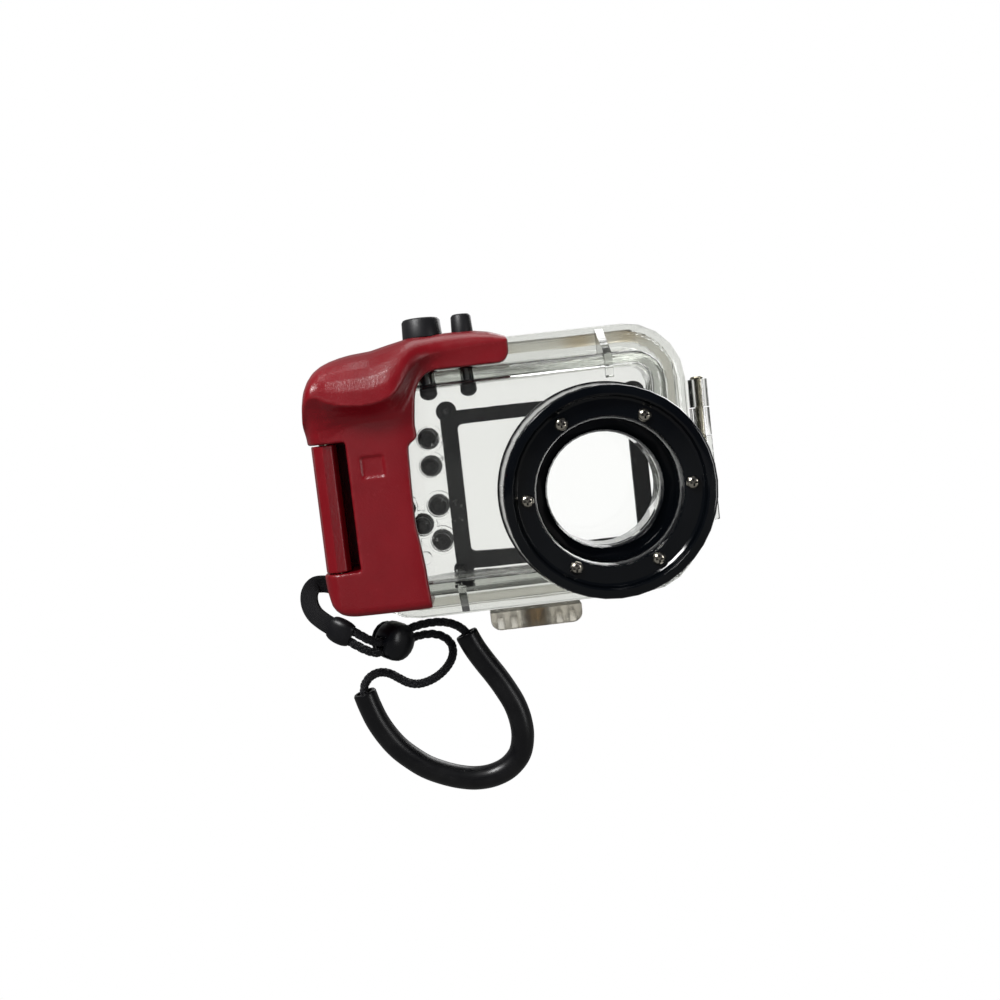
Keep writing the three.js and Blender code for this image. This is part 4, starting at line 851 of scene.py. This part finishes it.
# Springs, as finer coils with their end turns lying flat
def make_spring(name, cad_node):
    low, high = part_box(cad_node)
    centre = (low + high) / 2
    wire = SPRING_WIRE * MM
    radius = (high.x - low.x) / 2 - wire * 1.05
    height = high.z - low.z - 2 * wire
    steps_per_turn, flat_share = 40, 0.12
    steps = int(SPRING_TURNS * steps_per_turn)
    line = []
    for i in range(steps + 1):
        share = i / steps
        rise = min(max((share - flat_share) / (1 - 2 * flat_share), 0), 1)
        a = 2 * math.pi * SPRING_TURNS * share
        line.append((centre.x + radius * math.cos(a), centre.y + radius * math.sin(a),
                     low.z + wire + height * rise))
    points, faces = loft(section_loft(np.array(line), circle(wire, 8)))
    made = piece(name, points, faces, MATERIALS["steel"], "housing", 60)
    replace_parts(made, cad_node)
    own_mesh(made)


make_spring("shutter_spring_coil", "shutter_spring")
make_spring("power_spring_coil", "power_spring")


# Rubber pieces, which replace their plain solids
def stand_for(name, source, points, faces):
    slot = SLOTS[source]
    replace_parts(piece(name, points, faces, MATERIALS[slot], NODES[source]["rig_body"], 50), source)


def box_mm(source):
    """Low and high corner of a CAD node, in millimetres."""
    low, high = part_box(source)
    return np.array(low) / MM, np.array(high) / MM


def make_ring(name, source, axis):
    """A rubber ring of round section."""
    low, high = box_mm(source)
    along = 2 if axis == "Z" else 1
    centre = (low + high) / 2
    section = (high[along] - low[along]) / 2
    middle = (high[0] - low[0]) / 2 - section
    profile = []
    for k in range(16):
        a = 2 * math.pi * k / 16
        profile.append((middle + section * math.cos(a), centre[along] + section * math.sin(a)))
    across = [k for k in (0, 1, 2) if k != along]
    points, faces = turned(profile, centre[across] * MM, axis, 96, ring=True)
    stand_for(name, source, points, faces)


def make_port_gasket():
    """The flat seal behind the port ring, with rounded rims and a bead on its face."""
    low, high = box_mm("port_gasket")
    centre = (low + high) / 2
    outer, front, back = (high[0] - low[0]) / 2, low[1], high[1]
    inner = outer - PORT_GASKET_WIDTH
    r = 0.18
    profile = [(inner, back), (inner, front + r), (inner + r, front + 0.06), (outer - 3 * r, front + 0.06),
               (outer - 2.4 * r, front), (outer - r, front), (outer - 0.3 * r, front + 0.3 * r),
               (outer, front + r), (outer, back - r), (outer - 0.3 * r, back - 0.3 * r), (outer - r, back)]
    points, faces = turned(profile, centre[[0, 2]] * MM, "Y", 128, ring=True)
    stand_for("port_gasket_seal", "port_gasket", points, faces)


def rounded_outline(half_x, half_z, radius, per_corner, straight):
    """Points round a rectangle with round corners, the same number for every size."""
    pairs = []
    for k, (sx, sz) in enumerate(((1, 1), (-1, 1), (-1, -1), (1, -1))):
        cx, cz = sx * (half_x - radius), sz * (half_z - radius)
        for j in range(per_corner + 1):
            a = math.radians(90 * k + 90 * j / per_corner)
            pairs.append((cx + radius * math.cos(a), cz + radius * math.sin(a)))
        ends = ((-1, 1), (-1, -1), (1, -1), (1, 1))[k]
        a = math.radians(90 * (k + 1))
        goal = (ends[0] * (half_x - radius) + radius * math.cos(a),
                ends[1] * (half_z - radius) + radius * math.sin(a))
        from_x, from_z = pairs[-1]
        for j in range(1, straight):
            share = j / straight
            pairs.append((from_x * (1 - share) + goal[0] * share, from_z * (1 - share) + goal[1] * share))
    return pairs


def make_door_gasket():
    """The door's seal: a soft cord of D section with a raised lip, laid in its groove."""
    low, high = box_mm("door_gasket")
    centre = (low + high) / 2
    half_x, half_z = (high[0] - low[0]) / 2, (high[2] - low[2]) / 2
    front, back = low[1], high[1]
    section = [(0, back), (0, front + 0.75), (0.12, front + 0.4), (0.42, front + 0.14), (0.85, front + 0.06),
               (1.2, front), (1.55, front + 0.06), (1.98, front + 0.14), (2.28, front + 0.4),
               (GASKET_WIDTH, front + 0.75), (GASKET_WIDTH, back)]
    rings = []
    for inset, y in section:
        outline = rounded_outline(half_x - inset, half_z - inset,
                                  GASKET_CORNER + GASKET_WIDTH / 2 - inset, per_corner=14, straight=8)
        rings.append([((centre[0] + a) * MM, y * MM, (centre[2] + b) * MM) for a, b in outline])
    points, faces = loft(rings, closed_run=True)
    stand_for("door_seal", "door_gasket", points, faces)


def make_rear_tip(k):
    """A key's rubber end: a dome inside a rim, as seen through the clear shell."""
    source = "rear_tip_%d" % k
    low, high = box_mm(source)
    centre = (low + high) / 2
    front, back = low[1], high[1]
    profile = [(AXIS_HOLE, front + 0.2), (0.5, front + 0.16), (0.75, front + 0.04), (1.05, front),
               (1.3, front + 0.06), (1.46, front + 0.3), (1.6, front + 0.36), (1.76, front + 0.3),
               (1.86, front + 0.1), (2.1, front + 0.05), (2.38, front + 0.18), (2.6, front + 0.45),
               (2.7, front + 0.8), (2.7, back - 0.15), (2.6, back), (1.6, back), (1.6, front + 0.55),
               (AXIS_HOLE, front + 0.55)]
    points, faces = turned(profile, centre[[0, 2]] * MM, "Y", 48)
    stand_for("rear_tip_dome_%d" % k, source, points, faces)


def make_top_tip(name, source, stem):
    """A plunger's rubber end: a bullet with a fine parting ring."""
    low, high = box_mm(source)
    centre = (low + high) / 2
    radius, bottom, top = (high[0] - low[0]) / 2, low[2], high[2]
    socket = [(AXIS_HOLE, top - TIP_BITE), (stem, top - TIP_BITE), (stem, top)]
    outside = [(radius - 0.12, top), (radius, top - 0.12), (radius, top - 0.7), (radius - 0.08, top - 0.78),
               (radius - 0.08, top - 0.9), (radius, top - 0.98)]
    nose = 0.75 * radius
    for k in range(13):
        a = math.pi / 2 * k / 12
        outside.append((max(radius * math.cos(a), AXIS_HOLE), bottom + nose * (1 - math.sin(a))))
    points, faces = turned(socket + outside, centre[[0, 1]] * MM, "Z", 56)
    stand_for(name, source, points, faces)


make_door_gasket()
make_port_gasket()
make_ring("glass_seal", "glass_o_ring", "Y")
make_ring("shutter_seal", "shutter_o_ring", "Z")
make_ring("power_seal", "power_o_ring", "Z")
for k in range(1, 8):
    make_rear_tip(k)
make_top_tip("shutter_bullet", "shutter_tip", SHUTTER_STEM)
make_top_tip("power_bullet", "power_tip", POWER_STEM)


# Trim
def make_rivets():
    """Dark caps on the screen frame's four ears."""
    low, high = box_mm("lcd_frame")
    face = low[1]
    profile = [(AXIS_HOLE, face - 0.02), (0.3, face - 0.06), (0.42, face - 0.22), (0.6, face - 0.42),
               (0.95, face - 0.4), (1.3, face - 0.28), (1.5, face - 0.06), (1.5, face - 0.01),
               (AXIS_HOLE, face - 0.01)]
    points, faces = [], []
    for x in (low[0] + EAR_RADIUS, high[0] - EAR_RADIUS):
        for z in (low[2] + EAR_RADIUS, high[2] - EAR_RADIUS):
            p, f = turned(profile, (x * MM, z * MM), "Y", 32)
            faces += [tuple(i + len(points) for i in face) for face in f]
            points += p
    piece("screen_frame_rivets", points, faces, MATERIALS["satin_black"], "door", 50)


make_rivets()


def make_latch_rib():
    """A rib along the inside of the latch plate, which fills the slot beside the housing."""
    low, high = box_mm("latch")
    bottom, top = low[2] + RIB_SETBACK, high[2] - RIB_SETBACK
    rings = []
    levels = ((bottom, RIB_BREAK), (bottom + RIB_BREAK, 0.0), (top - RIB_BREAK, 0.0), (top, RIB_BREAK))
    for z, shrink in levels:
        r = RIB_CORNER - shrink
        ring = []
        for cx, cy, start in rounded_corners(*RIB, RIB_CORNER):
            for k in range(5):
                a = math.radians(start + 22.5 * k)
                ring.append(((cx + r * math.cos(a)) * MM, (cy + r * math.sin(a)) * MM, z * MM))
        rings.append(ring)
    points, faces = loft(rings)
    piece("latch_rib", points, faces, MATERIALS["red_plastic"], NODES["latch"]["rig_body"], 35)


make_latch_rib()


def make_slot_floor():
    """The thin floor behind the latch, with a tab above and below it."""
    front, back = SLOT_DEPTH
    filled = [(i, k) for i in (0, 1) for k in (0, 1, 2) if (i, k) != (0, 1)]
    points, faces, index = [], [], {}

    def corner(i, k, y):
        if (i, k, y) not in index:
            index[i, k, y] = len(points)
            points.append((SLOT_COLUMNS[i] * MM, y * MM, SLOT_ROWS[k] * MM))
        return index[i, k, y]

    for i, k in filled:
        ring = [(i, k), (i + 1, k), (i + 1, k + 1), (i, k + 1)]
        faces.append(tuple(corner(*c, front) for c in ring))
        faces.append(tuple(corner(*c, back) for c in reversed(ring)))
        beside = [(i, k - 1), (i + 1, k), (i, k + 1), (i - 1, k)]
        for side, (a, b) in zip(beside, zip(ring, ring[1:] + ring[:1])):
            if side not in filled:
                faces.append((corner(*a, front), corner(*a, back), corner(*b, back), corner(*b, front)))
    piece("latch_slot_floor", points, faces, MATERIALS["red_plastic"], "housing", 35)


make_slot_floor()

for name in NODES:
    if not NODES[name].hide_render:
        dress(name, EDGES.get(name, 0.0))


# Stage and light
def sheet_of(name, size, location, material):
    mesh = bpy.data.meshes.new(name)
    h = size / 2
    mesh.from_pydata([(-h, -h, 0), (h, -h, 0), (h, h, 0), (-h, h, 0)], [], [(0, 1, 2, 3)])
    mesh.materials.append(material)
    made = bpy.data.objects.new(name, mesh)
    made.location = location
    bpy.context.scene.collection.objects.link(made)


def shown_white(tree, shown, hidden):
    """One closure for what the camera sees straight on, another for every other ray."""
    path = node(tree, "ShaderNodeLightPath")
    both = node(tree, "ShaderNodeMixShader")
    tree.links.new(path.outputs["Is Camera Ray"], both.inputs[0])
    tree.links.new(hidden, both.inputs[1])
    tree.links.new(shown, both.inputs[2])
    return both.outputs[0]


def floor_material():
    """White to the camera; to other rays a grey floor, pale further off where clear plastic shows it."""
    m = Mat("floor_pale", (0.85, 0.85, 0.85), 0.6)
    away = node(m.tree, "ShaderNodeVectorMath", operation="LENGTH")
    m.link(m.coordinates((1, 1, 0)), away.inputs[0])
    split = node(m.tree, "ShaderNodeSeparateXYZ")
    m.link(m.coordinates(), split.inputs[0])
    wall = m.mix(m.band(split.outputs["Y"], -0.3, 0.3), FRONT_WALL, PALE_WALL)
    far = m.mix(m.band(away.outputs["Value"], 0.3, 0.7, smooth=True), (0.42, 0.42, 0.42), wall)
    path = node(m.tree, "ShaderNodeLightPath")
    shade = m.mix(path.outputs["Is Transmission Ray"], (0.2, 0.2, 0.2), far)
    glow = node(m.tree, "ShaderNodeEmission")
    m.link(shade, glow.inputs["Color"])
    page = node(m.tree, "ShaderNodeEmission")
    page.inputs["Color"].default_value = (1, 1, 1, 1)
    out = m.tree.nodes["Material Output"]
    m.link(shown_white(m.tree, page.outputs[0], glow.outputs[0]), out.inputs["Surface"])
    return m.material


sheet_of("floor", FLOOR_SIZE, (0, 0, FLOOR_Z), floor_material())


def area_light(name, place, target, size, power, height=None, only_diffuse=False):
    """A light turned to its target; only_diffuse keeps it out of reflections and clear plastic."""
    data = bpy.data.lights.new(name, "AREA")
    data.energy = power
    data.shape = "RECTANGLE"
    data.size = size
    data.size_y = height or size
    made = bpy.data.objects.new(name, data)
    made.location = place
    made.rotation_mode = "QUATERNION"
    made.rotation_quaternion = (Vector(target) - Vector(place)).to_track_quat("-Z", "Y")
    made.visible_camera = False
    made.visible_glossy = not only_diffuse
    made.visible_transmission = not only_diffuse
    bpy.context.scene.collection.objects.link(made)


area_light("key", (-0.36, -0.42, 0.6), (-0.03, -0.01, 0.06), size=0.22, power=6.5)
area_light("fill", (-0.3, -0.85, 0.1), (-0.02, -0.02, 0.05), size=0.45, power=2.8, only_diffuse=True)
area_light("right_strip", (0.62, -0.5, 0.02), (0.02, -0.02, 0.04), size=0.14, power=1.2, height=0.45)
area_light("top", (0.05, 0.1, 0.75), (0, 0, 0.04), size=0.4, power=1.6)
area_light("rear", (0.35, 0.7, 0.45), (0, 0, 0.04), size=0.5, power=3.0)


def make_world():
    """A white page to the camera; to light and reflections, a room with pale walls before and behind."""
    world = bpy.data.worlds.new("studio")
    world.use_nodes = True
    m = Room(world.node_tree)
    tree = m.tree
    split = node(tree, "ShaderNodeSeparateXYZ")
    m.link(m.place.outputs["Generated"], split.inputs[0])
    depth = m.sum(split.outputs["Y"], 0.0, "ABSOLUTE")
    wide = m.sum(split.outputs["X"], 0.0, "ABSOLUTE")
    clean = m.sum(m.band(depth, 0.85, 0.945, smooth=True), m.band(wide, 0.93, 0.98, smooth=True), "MAXIMUM")
    patches = m.noise(2.6, 2.0, 0.5, source="Generated")
    room = m.mix(m.band(patches, 0.42, 0.6, smooth=True), (0.03, 0.03, 0.035), (0.5, 0.5, 0.49))
    walls = m.mix(m.band(split.outputs["Y"], -0.5, 0.5), FRONT_WALL, PALE_WALL)
    through = m.mix(clean, room, walls)
    around = m.mix(m.band(split.outputs["Y"], -0.1, 0.75, smooth=True), (0.06, 0.06, 0.07), (0.3, 0.3, 0.3))
    path = node(tree, "ShaderNodeLightPath")
    seen = m.mix(path.outputs["Is Transmission Ray"], around, through)
    shown = m.mix(path.outputs["Is Camera Ray"], seen, (1.0, 1.0, 1.0))
    m.link(shown, tree.nodes["Background"].inputs["Color"])
    bpy.context.scene.world = world


make_world()
bpy.context.scene.view_settings.view_transform = "Standard"
